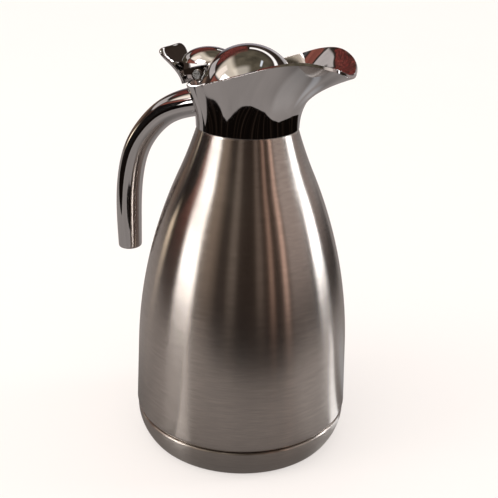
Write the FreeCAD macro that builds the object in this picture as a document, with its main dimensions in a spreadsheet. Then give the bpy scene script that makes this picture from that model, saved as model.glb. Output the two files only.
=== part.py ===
import FreeCAD, Part
import math
import os
import Sketcher
from FreeCAD import Placement, Rotation, Vector

# Vacuum coffee jug, nominal 2 litres.
# Frame: millimetres, +Z up, origin at the centre of the resting face under the base,
# +X towards the spout, -X towards the handle, the jug is symmetric about the XZ plane.

doc = FreeCAD.newDocument("vacuum_coffee_jug")
sheet = doc.addObject("Spreadsheet::Sheet", "Dims")

# Driving dimensions: alias, value, note
CELLS = [
    # steel body, outer wall
    ("shell_wall", 0.7, "outer shell wall"),
    ("belly_low_r", 74.45, "belly radius above the tucked-in corner"),
    ("belly_low_z", 24.6, "height of that point"),
    ("tuck_r", 72.5, "radius of the shell's bottom edge"),
    ("tuck_z", 20.8, "height of the shell's bottom edge"),
    ("tuck_arc", 4.68, "radius of the tucked-in corner"),
    ("belly_mid_r", 72.6, "radius where the cone turns into the shoulder arc"),
    ("belly_mid_z", 70.0, "height of that point"),
    ("shoulder_arc", 327.95, "shoulder arc radius"),
    ("shoulder_r", 44.52, "radius at the end of the shoulder arc"),
    ("shoulder_z", 190.0, "height of that point"),
    ("neck_arc", 287.0, "concave arc below the neck"),
    ("seam_r", 32.5, "radius at the collar seam"),
    ("seam_z", 222.0, "height of the collar seam"),
    ("neck_r", 31.0, "steel neck outer radius under the collar"),
    ("neck_top_z", 226.0, "top of the outer shell's neck"),
    ("nr_mid", 0.99917, "radial part of the normal at belly_mid"),
    ("nz_mid", 0.04083, "vertical part of the normal at belly_mid"),
    ("nr_sho", 0.91355, "radial part of the normal at the shoulder end"),
    ("nz_sho", 0.40674, "vertical part of the normal at the shoulder end"),
    # inner flask
    ("flask_wall", 0.6, "inner flask wall"),
    ("bore_r", 26.5, "flask neck bore radius"),
    ("bore_low_z", 209.0, "lower end of the neck bore"),
    ("flask_sho_r", 39.0, "flask radius below the neck"),
    ("flask_sho_z", 190.0, "height of that point"),
    ("flask_arc", 322.0, "flask shoulder arc"),
    ("flask_mid_r", 67.0, "flask radius at mid height"),
    ("flask_mid_z", 70.0, "height of that point"),
    ("flask_low_r", 68.6, "flask radius above the bottom corner"),
    ("flask_low_z", 44.5, "height of that point"),
    ("flask_corner", 14.0, "flask bottom corner radius"),
    ("flask_floor_z", 30.5, "inside floor of the flask"),
    # vacuum base, seal, getter
    ("vac_r", 71.5, "vacuum base flange radius"),
    ("vac_top_z", 24.0, "vacuum base top"),
    ("vac_wall", 0.7, "vacuum base wall"),
    ("seal_r", 4.0, "seal bead radius"),
    ("getter_r", 10.0, "getter pill radius"),
    ("getter_thick", 3.0, "getter pill thickness"),
    ("getter_x", 32.0, "getter distance from the axis"),
    # base cup
    ("cup_wall", 0.8, "base cup wall"),
    ("cup_top_r", 73.9, "base ring radius below its rounded top edge"),
    ("cup_top_z", 20.3, "base ring top edge"),
    ("cup_round", 1.0, "radius of that top edge"),
    ("cup_low_r", 67.86, "base ring radius near the floor"),
    ("cup_low_z", 0.6, "height of that point"),
    ("cup_side", 32.0, "radius of the base ring's curved side"),
    ("foot_out_r", 67.1, "outer radius of the resting ring"),
    ("foot_in_r", 58.5, "inner radius of the resting ring"),
    ("cup_rise", 3.2, "recess above the floor inside the resting ring"),
    ("spigot_r", 70.75, "spigot that enters the shell"),
    ("spigot_z", 23.2, "top of the spigot"),
    # neck gasket and threaded sleeve
    ("gask_in_r", 27.2, "neck gasket inner radius"),
    ("gask_out_r", 30.8, "neck gasket outer radius"),
    ("gask_low_z", 226.7, "neck gasket bottom"),
    ("gask_top_z", 228.0, "neck gasket top"),
    ("sleeve_r", 31.0, "sleeve outer radius"),
    ("sleeve_bore", 29.0, "sleeve bore"),
    ("sleeve_top_z", 237.0, "sleeve top"),
    ("ramp_lead", 80.0, "lead of the four bayonet ramps per turn"),
    ("ramp_rise", 3.8, "rise along one ramp"),
    ("ramp_half", 1.2, "half height of a ramp"),
    ("ramp_in_r", 27.25, "inner radius of the sleeve ramps"),
    ("ramp_low_z", 232.2, "height of a sleeve ramp's start"),
    ("lug_out_r", 28.7, "outer radius of the stopper lugs"),
    ("lug_low_z", 229.7, "height of a stopper lug's start"),
    # collar
    ("collar_r", 33.3, "collar radius at the seam"),
    ("collar_wall", 2.25, "collar wall"),
    # stopper
    ("stop_low_z", 207.0, "underside of the stopper"),
    ("stop_floor_z", 210.0, "valve seat face"),
    ("port_r", 8.5, "valve port radius"),
    ("stop_low_r", 25.0, "stopper radius below the gasket"),
    ("groove_r", 22.6, "gasket groove radius"),
    ("groove_low_z", 212.0, "gasket groove bottom"),
    ("groove_top_z", 217.0, "gasket groove top"),
    ("barrel_r", 25.5, "barrel radius inside the neck"),
    ("thread_r", 26.8, "barrel radius inside the sleeve"),
    ("thread_low_z", 227.3, "start of that barrel"),
    ("turret_r", 24.0, "turret radius below the cap"),
    ("turret_z", 238.0, "start of the turret"),
    ("cap_low_z", 246.5, "underside of the stopper cap"),
    ("cap_top_z", 249.0, "top of the stopper cap"),
    ("cap_r", 28.55, "stopper cap radius"),
    ("chamber_r", 20.5, "chamber radius behind the gasket groove"),
    ("chamber_top_r", 22.0, "chamber radius above it"),
    ("plug_gasket_r", 26.43, "stopper gasket radius"),
    # valve
    ("stem_r", 2.95, "valve stem radius"),
    ("guide_r", 3.0, "stem guide bore"),
    ("stem_low_z", 209.2, "stem bottom"),
    ("stem_top_z", 259.5, "stem top"),
    ("disc_r", 13.0, "valve disc radius"),
    ("disc_low_z", 211.5, "valve disc underside"),
    ("disc_top_z", 214.0, "valve disc top"),
    ("spring_top_z", 238.4, "upper end of the valve spring"),
    ("spring_mean_r", 7.5, "valve spring mean radius"),
    ("spring_wire_r", 0.6, "valve spring wire radius"),
    ("nut_low_z", 255.55, "underside of the stem nut"),
    ("nut_top_z", 258.3, "top of the stem nut"),
    ("nut_r", 7.5, "stem nut radius"),
    # lid cover
    ("dome_r", 31.4, "dome radius"),
    ("dome_z", 242.3, "height of the dome's centre"),
    ("dome_wall", 2.0, "dome wall"),
    ("hump_x", 27.0, "hump centre behind the axis"),
    ("hump_z", 256.0, "hump centre height"),
    ("hump_len", 21.5, "hump half length"),
    ("hump_wid", 13.5, "hump half width"),
    ("hump_hgt", 13.0, "hump half height"),
    ("hump_wall", 2.2, "hump wall"),
    # lever
    ("pivot_x", 31.0, "lever pivot behind the axis"),
    ("pivot_z", 253.0, "lever pivot height"),
    ("pin_r", 1.5, "lever pin radius"),
    ("pin_bore", 1.55, "lever bore"),
    ("lever_barrel_r", 4.3, "lever barrel radius"),
    ("lever_barrel_w", 9.6, "lever barrel width"),
    ("lever_hub_r", 2.2, "lever hub radius inside the spring"),
    ("lever_hub_w", 16.0, "lever hub width"),
    ("ear_in", 8.3, "inner face of each ear"),
    ("ear_thick", 3.0, "ear thickness"),
    ("ear_r", 4.6, "ear radius"),
    ("arm_low_z", 251.0, "underside of the lever's front arm"),
    ("arm_top_z", 255.0, "top of the lever's front arm"),
    ("arm_half", 7.0, "half width of the lever's front arm"),
    ("fork_gap", 3.4, "half gap of the fork"),
    ("pad_r", 2.5, "fork pad radius"),
    ("tab_thick", 5.2, "thumb tab thickness"),
    # handle
    ("handle_wall", 2.4, "handle shell wall"),
    ("handle_split", 4.7, "parting face in front of the handle's centre line"),
    ("screw_low_z", 226.5, "lower handle screw height"),
    ("screw_high_z", 234.5, "upper handle screw height"),
    ("screw_r", 1.5, "handle screw radius"),
    ("screw_head_r", 2.7, "handle screw head radius"),
    ("screw_len", 14.0, "handle screw length"),
    ("dome_screw_ring", 26.4, "ring radius of the dome screws"),
    ("dome_screw_r", 1.1, "dome screw radius"),
    ("dome_boss_r", 2.3, "dome screw boss radius"),
]
VALUE = {}
for row, (alias, number, note) in enumerate(CELLS, start=1):
    sheet.set("A%d" % row, note)
    sheet.set("B%d" % row, str(number))
    sheet.setAlias("B%d" % row, alias)
    VALUE[alias] = float(number)
doc.recompute()


class Size:
    """A number together with the sheet expression that gives it."""

    def __init__(self, value, expr):
        self.value, self.expr = float(value), expr

    @staticmethod
    def of(other):
        return other if isinstance(other, Size) else Size(other, repr(float(other)))

    def __add__(self, other):
        other = Size.of(other)
        return Size(self.value + other.value, "(%s + %s)" % (self.expr, other.expr))

    def __sub__(self, other):
        other = Size.of(other)
        return Size(self.value - other.value, "(%s - %s)" % (self.expr, other.expr))

    def __mul__(self, other):
        other = Size.of(other)
        return Size(self.value * other.value, "(%s * %s)" % (self.expr, other.expr))

    def __neg__(self):
        return Size(-self.value, "(0 - %s)" % self.expr)


class Dims:
    """dim.alias gives the Size of that cell."""

    def __getattr__(self, alias):
        return Size(VALUE[alias], "Dims." + alias)


dim = Dims()
PIECES = []                 # the objects written to files
GAP = 0.02                  # hairline left between parts that nearly touch
Y_AXIS = Vector(0, 1, 0)
ALONG_Y = Rotation(Vector(1, 0, 0), -90)


# ---------------------------------------------------------------- shared helpers
def keep(obj, label):
    obj.Label = label
    PIECES.append(obj)
    return obj


def new_body(label):
    return keep(doc.addObject("PartDesign::Body", label), label)


def shape_piece(label, shape):
    obj = keep(doc.addObject("Part::Feature", label), label)
    obj.Shape = shape
    return obj


def origin_item(body, role):
    return [item for item in body.Origin.OriginFeatures if item.Role == role][0]


def attached_sketch(body, name, plane):
    sk = body.newObject("Sketcher::SketchObject", name)
    sk.AttachmentSupport = [(origin_item(body, plane), "")]
    sk.MapMode = "FlatFace"
    return sk


def fix_radius(sk, edge, radius):
    index = sk.addConstraint(Sketcher.Constraint("Radius", edge, radius.value))
    sk.setExpression("Constraints[%d]" % index, radius.expr)


def fix_point(sk, edge, point, x, y):
    """Dimension a point from the origin, or put it on the axis where a coordinate is zero."""
    for kind, size, axis in (("DistanceX", x, -2), ("DistanceY", y, -1)):
        if abs(size.value) < 1e-9:
            sk.addConstraint(Sketcher.Constraint("PointOnObject", edge, point, axis))
        else:
            index = sk.addConstraint(
                Sketcher.Constraint(kind, -1, 1, edge, point, size.value))
            sk.setExpression("Constraints[%d]" % index, size.expr)


def add_arc(sk, ax, ay, bx, by, radius, way):
    """The minor arc from a to b; returns the edge and its point numbers at a and b."""
    half = math.hypot(bx - ax, by - ay) / 2
    away = math.sqrt(radius ** 2 - half ** 2)
    ux, uy = (bx - ax) / (2 * half), (by - ay) / (2 * half)
    cx = (ax + bx) / 2 - way * uy * away
    cy = (ay + by) / 2 + way * ux * away
    first, last = math.atan2(ay - cy, ax - cx), math.atan2(by - cy, bx - cx)
    if way < 0:
        first, last = last, first
    if last < first:
        last += 2 * math.pi
    circle = Part.Circle(Vector(cx, cy, 0), Vector(0, 0, 1), radius)
    edge = sk.addGeometry(Part.ArcOfCircle(circle, first, last), False)
    return (edge, 1, 2) if way > 0 else (edge, 2, 1)


def loop_sketch(body, name, plane, loops):
    """Closed loops (corners, arcs); arcs = {edge index: (radius, +1 anticlockwise or -1)}."""
    sk = attached_sketch(body, name, plane)
    for corners, arcs in loops:
        corners = [(Size.of(x), Size.of(y)) for x, y in corners]
        edges, radii = [], []
        for i, (x, y) in enumerate(corners):
            end_x, end_y = corners[(i + 1) % len(corners)]
            ends = (x.value, y.value, end_x.value, end_y.value)
            if i in arcs:
                radius, way = Size.of(arcs[i][0]), arcs[i][1]
                edges.append(add_arc(sk, *ends, radius.value, way))
                radii.append((edges[-1][0], radius))
            else:
                line = Part.LineSegment(Vector(ends[0], ends[1], 0), Vector(ends[2], ends[3], 0))
                edges.append((sk.addGeometry(line, False), 1, 2))
        for i, (x, y) in enumerate(corners):
            edge, start, _ = edges[i]
            previous, _, end = edges[i - 1]
            sk.addConstraint(Sketcher.Constraint("Coincident", previous, end, edge, start))
            fix_point(sk, edge, start, x, y)
        for edge, radius in radii:
            fix_radius(sk, edge, radius)
    return sk


def circle_sketch(body, name, plane, circles, lift=None):
    """Circles given as (x, y, radius), on a plane raised by lift."""
    sk = attached_sketch(body, name, plane)
    if lift is not None:
        sk.AttachmentOffset = Placement(Vector(0, 0, lift.value), Rotation())
        sk.setExpression("AttachmentOffset.Base.z", lift.expr)
    for circle in circles:
        x, y, radius = [Size.of(number) for number in circle]
        curve = Part.Circle(Vector(x.value, y.value, 0), Vector(0, 0, 1), radius.value)
        edge = sk.addGeometry(curve, False)
        fix_radius(sk, edge, radius)
        fix_point(sk, edge, 3, x, y)
    return sk


def revolve(body, sk, name):
    """A full turn about the sketch's vertical axis."""
    rev = body.newObject("PartDesign::Revolution", name)
    rev.Profile = sk
    rev.ReferenceAxis = (sk, ["V_Axis"])
    rev.Angle = 360.0
    sk.Visibility = False


def turned(label, corners, arcs=None):
    """A body turned about Z from (radius, height) corners."""
    body = new_body(label)
    sk = loop_sketch(body, label + "_profile", "XZ_Plane", [(corners, arcs or {})])
    revolve(body, sk, label + "_turned")
    doc.recompute()
    return body


def pocket(body, sk, name, length, reverse):
    before = body.Shape.Volume
    cut = body.newObject("PartDesign::Pocket", name)
    cut.Profile = sk
    cut.Length = length.value
    cut.setExpression("Length", length.expr)
    cut.Reversed = reverse
    sk.Visibility = False
    doc.recompute()
    if not cut.Shape.Volume < before - 0.01:
        raise RuntimeError(name + " cut nothing")


def ring_of_four(body, feature, name):
    pattern = body.newObject("PartDesign::PolarPattern", name)
    pattern.Originals = [feature]
    pattern.Axis = (origin_item(body, "Z_Axis"), [""])
    pattern.Angle = 360.0
    pattern.Occurrences = 4
    body.Tip = pattern
    doc.recompute()


def closed_wire(points):
    """A smooth closed curve through the points."""
    curve = Part.BSplineCurve()
    curve.interpolate(Points=points, PeriodicFlag=True)
    return Part.Wire([curve.toShape()])


def plate(outline, half):
    """A prism from an (x, z) outline, reaching half to each side of the XZ plane."""
    polygon = Part.makePolygon([Vector(x, -half, z) for x, z in outline + outline[:1]])
    return Part.Face(polygon).extrude(Vector(0, 2 * half, 0))


def cross_bar(radius, half, x, z):
    """A cylinder along Y, centred on the XZ plane."""
    return Part.makeCylinder(radius, 2 * half, Vector(x, -half, z), Y_AXIS)


# ---------------------------------------------------------------- steel body
def make_outer_shell():
    wall = dim.shell_wall
    edge_wall = 0.95        # radial width of the bottom edge
    seam_share = 0.74       # share of the wall taken off the radius inside the seam
    turned("outer_shell", [
        (dim.tuck_r, dim.tuck_z),
        (dim.belly_low_r, dim.belly_low_z),
        (dim.belly_mid_r, dim.belly_mid_z),
        (dim.shoulder_r, dim.shoulder_z),
        (dim.seam_r, dim.seam_z),
        (dim.neck_r, dim.seam_z),
        (dim.neck_r, dim.neck_top_z),
        # back down the inside
        (dim.neck_r - wall, dim.neck_top_z),
        (dim.neck_r - wall, dim.seam_z - wall),
        (dim.seam_r - wall * seam_share, dim.seam_z - wall),
        (dim.shoulder_r - wall * dim.nr_sho, dim.shoulder_z - wall * dim.nz_sho),
        (dim.belly_mid_r - wall * dim.nr_mid, dim.belly_mid_z - wall * dim.nz_mid),
        (dim.belly_low_r - wall, dim.belly_low_z),
        (dim.tuck_r - edge_wall, dim.tuck_z),
    ], {0: (dim.tuck_arc, 1), 2: (dim.shoulder_arc, 1), 3: (dim.neck_arc, -1),
        9: (dim.neck_arc + wall, 1), 10: (dim.shoulder_arc - wall, -1),
        12: (dim.tuck_arc - wall, -1)})


def make_inner_flask():
    """The flask, open at the neck, where a flange rests on the outer shell."""
    wall = dim.flask_wall
    turned("inner_flask", [
        (0, dim.flask_floor_z - wall),
        (dim.flask_low_r - dim.flask_corner + wall, dim.flask_floor_z - wall),
        (dim.flask_low_r + wall, dim.flask_low_z),
        (dim.flask_mid_r + wall, dim.flask_mid_z),
        (dim.flask_sho_r + wall * 1.05, dim.flask_sho_z + wall * 0.3),
        (dim.bore_r + wall, dim.bore_low_z + wall * 0.5),
        (dim.bore_r + wall, dim.neck_top_z),
        (dim.neck_r, dim.neck_top_z),
        (dim.neck_r, dim.gask_low_z),
        # back down the inside
        (dim.bore_r, dim.gask_low_z),
        (dim.bore_r, dim.bore_low_z),
        (dim.flask_sho_r, dim.flask_sho_z),
        (dim.flask_mid_r, dim.flask_mid_z),
        (dim.flask_low_r, dim.flask_low_z),
        (dim.flask_low_r - dim.flask_corner, dim.flask_floor_z),
        (0, dim.flask_floor_z),
    ], {1: (dim.flask_corner + wall, 1), 3: (dim.flask_arc + wall, 1),
        11: (dim.flask_arc, -1), 13: (dim.flask_corner, -1)})


def make_vacuum_base():
    """A flanged disc with a raised centre and a small hole, and the bead under the hole."""
    wall, top_z = dim.vac_wall, dim.vac_top_z
    crown_z = top_z + 1.6
    hole_r, crown_r, crown_foot_r = 1.5, 9.0, 11.0
    under = 0.3             # the crown's slope starts this much further out underneath
    turned("vacuum_base", [
        (hole_r, crown_z), (crown_r, crown_z), (crown_foot_r, top_z), (dim.vac_r, top_z),
        (dim.vac_r, dim.tuck_z), (dim.vac_r - wall, dim.tuck_z),
        (dim.vac_r - wall, top_z - wall), (crown_foot_r + under, top_z - wall),
        (crown_r + under, crown_z - wall), (hole_r, crown_z - wall),
    ])
    bead_arc, bead_bottom_z = 7.0, top_z - 0.4
    turned("vacuum_seal_bead", [
        (0, crown_z - wall), (dim.seal_r, crown_z - wall), (0, bead_bottom_z),
    ], {1: (bead_arc, -1)})


def make_getter():
    body = new_body("getter_pill")
    sk = circle_sketch(body, "getter_outline", "XY_Plane", [(dim.getter_x, 0, dim.getter_r)],
                       lift=dim.vac_top_z)
    pad = body.newObject("PartDesign::Pad", "getter_pad")
    pad.Profile = sk
    pad.Length = dim.getter_thick.value
    pad.setExpression("Length", dim.getter_thick.expr)
    sk.Visibility = False
    doc.recompute()


def make_base_cup():
    wall = dim.cup_wall
    slope = 2.5             # the recess starts this far inside the resting ring
    inset = 0.4             # shift of that slope on the upper side
    turned("base_cup", [
        (0, dim.cup_rise), (dim.foot_in_r - slope, dim.cup_rise),
        (dim.foot_in_r, 0), (dim.foot_out_r, 0),
        (dim.cup_low_r, dim.cup_low_z),
        (dim.cup_top_r, dim.cup_top_z - dim.cup_round),
        (dim.cup_top_r - dim.cup_round, dim.cup_top_z),
        (dim.spigot_r, dim.cup_top_z), (dim.spigot_r, dim.spigot_z),
        # back down the inside
        (dim.spigot_r - wall, dim.spigot_z), (dim.spigot_r - wall, dim.cup_top_z - wall),
        (dim.cup_top_r - wall, dim.cup_top_z - wall),
        (dim.cup_low_r - wall * 0.8, dim.cup_low_z + wall * 0.6),
        (dim.foot_out_r - wall, wall), (dim.foot_in_r + inset, wall),
        (dim.foot_in_r - slope + inset, dim.cup_rise + wall), (0, dim.cup_rise + wall),
    ], {4: (dim.cup_side, 1), 5: (dim.cup_round, 1), 11: (dim.cup_side, -1)})


# ---------------------------------------------------------------- neck
def make_neck_gasket():
    turned("neck_gasket", [
        (dim.gask_in_r, dim.gask_low_z), (dim.gask_out_r, dim.gask_low_z),
        (dim.gask_out_r, dim.gask_top_z), (dim.gask_in_r, dim.gask_top_z),
    ])


def ramp(body, name, root_r, tip_r, low_z):
    """A short helical ramp with a trapezoid section, its root sunk into the wall."""
    sink = 0.4 if tip_r.value > root_r.value else -0.4
    half = dim.ramp_half
    tip_half = half * 0.7
    sk = loop_sketch(body, name + "_section", "XZ_Plane", [([
        (root_r - sink, low_z - half), (tip_r, low_z - tip_half),
        (tip_r, low_z + tip_half), (root_r - sink, low_z + half)], {})])
    helix = body.newObject("PartDesign::AdditiveHelix", name)
    helix.Profile = sk
    helix.ReferenceAxis = (sk, ["V_Axis"])
    helix.Mode = 0          # pitch and height
    helix.Pitch = dim.ramp_lead.value
    helix.setExpression("Pitch", dim.ramp_lead.expr)
    helix.Height = dim.ramp_rise.value
    helix.setExpression("Height", dim.ramp_rise.expr)
    sk.Visibility = False
    doc.recompute()
    return helix


def make_sleeve():
    body = turned("threaded_sleeve", [
        (dim.sleeve_bore, dim.gask_top_z), (dim.sleeve_r, dim.gask_top_z),
        (dim.sleeve_r, dim.sleeve_top_z), (dim.sleeve_bore, dim.sleeve_top_z),
    ])
    helix = ramp(body, "sleeve_ramp", dim.sleeve_bore, dim.ramp_in_r, dim.ramp_low_z)
    ring_of_four(body, helix, "sleeve_ramps")


# ---------------------------------------------------------------- stopper
# Windows through the turret's spout side: their sides along Y
WINDOWS = ((-13.0, -5.5), (-3.75, 3.75), (5.5, 13.0))
VENT_R = 1.25
VENT_RISE = 4.2             # vent centre above the turret's start

BOSS_LOW_Z = dim.turret_z + 1.0     # underside of the cap's middle boss
STEM_SEAL_R = 4.7                   # pocket for the stem seal inside the boss
STEM_SEAL_LOW_Z = dim.turret_z + 3.2
STEM_SEAL_TOP_Z = dim.turret_z + 5.2

DOME_SCREW_ANGLES = (50.0, 130.0, 230.0, 310.0)


def dome_screw_spots():
    """(angle, x, y) of each screw that joins the dome to the stopper cap."""
    spots = []
    for angle in DOME_SCREW_ANGLES:
        turn = math.radians(angle)
        spots.append((angle, dim.dome_screw_ring * math.cos(turn),
                      dim.dome_screw_ring * math.sin(turn)))
    return spots


def make_stopper_body():
    body = turned("stopper_body", [
        (dim.port_r, dim.stop_low_z), (dim.stop_low_r, dim.stop_low_z),
        (dim.stop_low_r, dim.groove_low_z), (dim.groove_r, dim.groove_low_z),
        (dim.groove_r, dim.groove_top_z), (dim.barrel_r, dim.groove_top_z),
        (dim.barrel_r, dim.thread_low_z), (dim.thread_r, dim.thread_low_z),
        (dim.thread_r, dim.turret_z), (dim.turret_r, dim.turret_z),
        (dim.turret_r, dim.cap_low_z), (dim.chamber_top_r, dim.cap_low_z),
        (dim.chamber_top_r, dim.groove_top_z + 2.0), (dim.chamber_r, dim.groove_top_z + 0.5),
        (dim.chamber_r, dim.stop_floor_z), (dim.port_r, dim.stop_floor_z),
    ])
    helix = ramp(body, "stopper_lug", dim.thread_r, dim.lug_out_r, dim.lug_low_z)
    ring_of_four(body, helix, "stopper_lugs")
    low_z, top_z = dim.turret_z + 1.5, dim.cap_low_z - 1.0
    loops = [([(y0, low_z), (y1, low_z), (y1, top_z), (y0, top_z)], {}) for y0, y1 in WINDOWS]
    reach = dim.thread_r + 4.0
    sk = loop_sketch(body, "window_outline", "YZ_Plane", loops)
    pocket(body, sk, "pour_windows", reach, True)
    sk = circle_sketch(body, "vent_outline", "YZ_Plane", [(0, dim.turret_z + VENT_RISE, VENT_R)])
    pocket(body, sk, "air_vent", reach, False)


def make_stopper_gasket():
    """A ring with two lips and a shallow valley between them."""
    inner_r, lip_r = dim.groove_r + GAP, dim.plug_gasket_r
    low_z = dim.groove_low_z
    slack, shoulder, valley = 0.15, 1.2, 0.8
    turned("stopper_gasket", [
        (inner_r, low_z + slack), (lip_r - shoulder, low_z + slack),
        (lip_r, low_z + 1.2), (lip_r - valley, low_z + 2.4), (lip_r, low_z + 3.6),
        (lip_r - shoulder, dim.groove_top_z - slack), (inner_r, dim.groove_top_z - slack),
    ])


def make_stopper_cap():
    """The cap disc with a middle boss round the stem and a rim that enters the chamber."""
    boss_mid_r, boss_r = 4.6, 6.5
    rim_in_r, rim_out_r = dim.chamber_top_r - 1.6, dim.chamber_top_r - 0.05
    rim_low_z = dim.cap_low_z - 1.5
    body = turned("stopper_cap", [
        (dim.guide_r, BOSS_LOW_Z), (boss_mid_r, BOSS_LOW_Z), (boss_r, BOSS_LOW_Z),
        (boss_r, dim.cap_low_z), (rim_in_r, dim.cap_low_z), (rim_in_r, rim_low_z),
        (rim_out_r, rim_low_z), (rim_out_r, dim.cap_low_z),
        (dim.cap_r, dim.cap_low_z), (dim.cap_r, dim.cap_top_z), (dim.guide_r, dim.cap_top_z),
        (dim.guide_r, STEM_SEAL_TOP_Z), (STEM_SEAL_R, STEM_SEAL_TOP_Z),
        (STEM_SEAL_R, STEM_SEAL_LOW_Z), (dim.guide_r, STEM_SEAL_LOW_Z),
    ])
    circles = [(x, y, dim.dome_screw_r + 0.1) for _, x, y in dome_screw_spots()]
    sk = circle_sketch(body, "cap_screw_holes", "XY_Plane", circles, lift=dim.cap_low_z - 0.5)
    pocket(body, sk, "cap_holes", dim.cap_top_z - dim.cap_low_z + 1.0, True)


def make_stem_seal():
    outer_r, top_z = STEM_SEAL_R - GAP, STEM_SEAL_TOP_Z - GAP
    turned("stem_seal", [
        (dim.guide_r, STEM_SEAL_LOW_Z), (outer_r, STEM_SEAL_LOW_Z),
        (outer_r, top_z), (dim.guide_r, top_z),
    ])


def make_spring_washer():
    inner_r, outer_r = 3.3, 8.7
    turned("spring_washer", [
        (inner_r, dim.spring_top_z), (outer_r, dim.spring_top_z),
        (outer_r, BOSS_LOW_Z), (inner_r, BOSS_LOW_Z),
    ])


# ---------------------------------------------------------------- valve
VALVE_HUB_R = 4.9           # hub below the valve disc, inside the valve gasket
BEVEL = 0.6                 # bevels of the stem and the nut


def make_valve_stem():
    turned("valve_stem", [
        (0, dim.stem_low_z), (dim.stem_r, dim.stem_low_z), (dim.stem_r, dim.stem_top_z - BEVEL),
        (dim.stem_r - BEVEL, dim.stem_top_z), (0, dim.stem_top_z),
    ])


def make_valve_disc():
    collar_r, collar_top_z = 5.5, dim.disc_top_z + 5.0
    turned("valve_disc", [
        (dim.stem_r, dim.stem_low_z), (VALVE_HUB_R, dim.stem_low_z),
        (VALVE_HUB_R, dim.disc_low_z), (dim.disc_r, dim.disc_low_z),
        (dim.disc_r, dim.disc_top_z), (collar_r, dim.disc_top_z),
        (collar_r, collar_top_z), (dim.stem_r, collar_top_z),
    ])


def make_valve_gasket():
    inner_r, outer_r = VALVE_HUB_R + GAP, 12.0
    turned("valve_gasket", [
        (inner_r, dim.stop_floor_z), (outer_r, dim.stop_floor_z),
        (outer_r, dim.disc_low_z), (inner_r, dim.disc_low_z),
    ])


def make_stem_nut():
    turned("stem_nut", [
        (dim.stem_r, dim.nut_low_z), (dim.nut_r - BEVEL, dim.nut_low_z),
        (dim.nut_r, dim.nut_low_z + BEVEL), (dim.nut_r, dim.nut_top_z - BEVEL),
        (dim.nut_r - BEVEL, dim.nut_top_z), (dim.stem_r, dim.nut_top_z),
    ])


def make_valve_spring():
    """Round wire wound about Z between the valve disc and the washer."""
    turns = 6.0
    mean_r, wire_r = dim.spring_mean_r.value, dim.spring_wire_r.value
    low, high = dim.disc_top_z.value + GAP, dim.spring_top_z.value - GAP
    rise = (high - low) - 2 * wire_r
    helix = Part.makeLongHelix(rise / turns, rise, mean_r)
    section = Part.Wire([Part.makeCircle(wire_r, Vector(mean_r, 0, 0), Y_AXIS)])
    coil = Part.Wire(helix.Edges).makePipeShell([section], True, True)
    spring = shape_piece("valve_spring", coil)
    spring.Placement = Placement(Vector(0, 0, low + wire_r), Rotation())


# ---------------------------------------------------------------- collar with spout
# The collar grows from a circle at the seam to the sweeping rim. Each station is an angle
# at the seam (0 at the spout), the rim point's x, y, z, the straight height above the seam,
# the pull at the rim and the rim's flare from vertical in degrees.
COLLAR = [
    (0.0, 70.5, 0.0, 261.1, 19.0, 26.5, 67.5),
    (14.0, 65.2, 16.0, 266.8, 19.5, 26.0, 60.0),
    (30.0, 51.1, 28.2, 271.1, 20.0, 22.0, 42.0),
    (50.0, 33.7, 35.7, 269.0, 19.5, 17.0, 22.0),
    (70.0, 15.4, 37.6, 262.8, 18.0, 12.0, 12.0),
    (91.0, -1.9, 37.4, 256.9, 15.0, 10.0, 12.0),
    (116.0, -18.9, 34.5, 251.1, 12.0, 8.0, 14.0),
    (144.0, -31.9, 22.9, 248.5, 11.0, 7.0, 16.0),
    (180.0, -38.0, 0.0, 248.2, 10.0, 7.0, 17.0),
]
ANGLES, RIM_X, RIM_Y, RIM_Z, STRAIGHT, PULL, FLARE = zip(*COLLAR)
SHARES = (0.0, 0.12, 0.25, 0.38, 0.5, 0.62, 0.74, 0.86, 1.0)    # seam (0) to rim (1)
RING_POINTS = 48


def station_value(values, angle, first=0.0, last=0.0):
    """Cubic Hermite through the stations; first and last scale the chord slope at the ends."""

    def slope(i, j):
        return (values[j] - values[i]) / (ANGLES[j] - ANGLES[i])

    count = len(ANGLES)
    slopes = [slope(0, 1) * first]
    slopes += [slope(i - 1, i + 1) for i in range(1, count - 1)]
    slopes.append(slope(count - 2, count - 1) * last)
    i = next(k for k in range(count - 1) if angle <= ANGLES[k + 1])
    step = ANGLES[i + 1] - ANGLES[i]
    u = (angle - ANGLES[i]) / step
    return ((2 * u ** 3 - 3 * u ** 2 + 1) * values[i]
            + (u ** 3 - 2 * u ** 2 + u) * step * slopes[i]
            + (3 * u ** 2 - 2 * u ** 3) * values[i + 1]
            + (u ** 3 - u ** 2) * step * slopes[i + 1])


def rim_xy(angle):
    """The rim in plan; y crosses zero at both ends, so its slope there isn't flat."""
    return station_value(RIM_X, angle), station_value(RIM_Y, angle, first=1.15, last=1.1)


def rim_outward(angle):
    """Unit direction square to the rim curve in plan."""
    nudge = 0.5
    x0, y0 = rim_xy(max(angle - nudge, 0.0))
    x1, y1 = rim_xy(min(angle + nudge, 180.0))
    # mirror the neighbour where the curve crosses the XZ plane
    if angle < nudge:
        x0, y0 = x1, -y1
    if angle > 180.0 - nudge:
        x1, y1 = x0, -y0
    length = math.hypot(x1 - x0, y1 - y0)
    return (y1 - y0) / length, -(x1 - x0) / length


def fold_angle(degrees):
    """The angle from the spout, 0 to 180, and the side of the XZ plane it lies on."""
    wrapped = ((degrees + 180.0) % 360.0) - 180.0
    return abs(wrapped), 1.0 if wrapped >= 0 else -1.0


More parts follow.
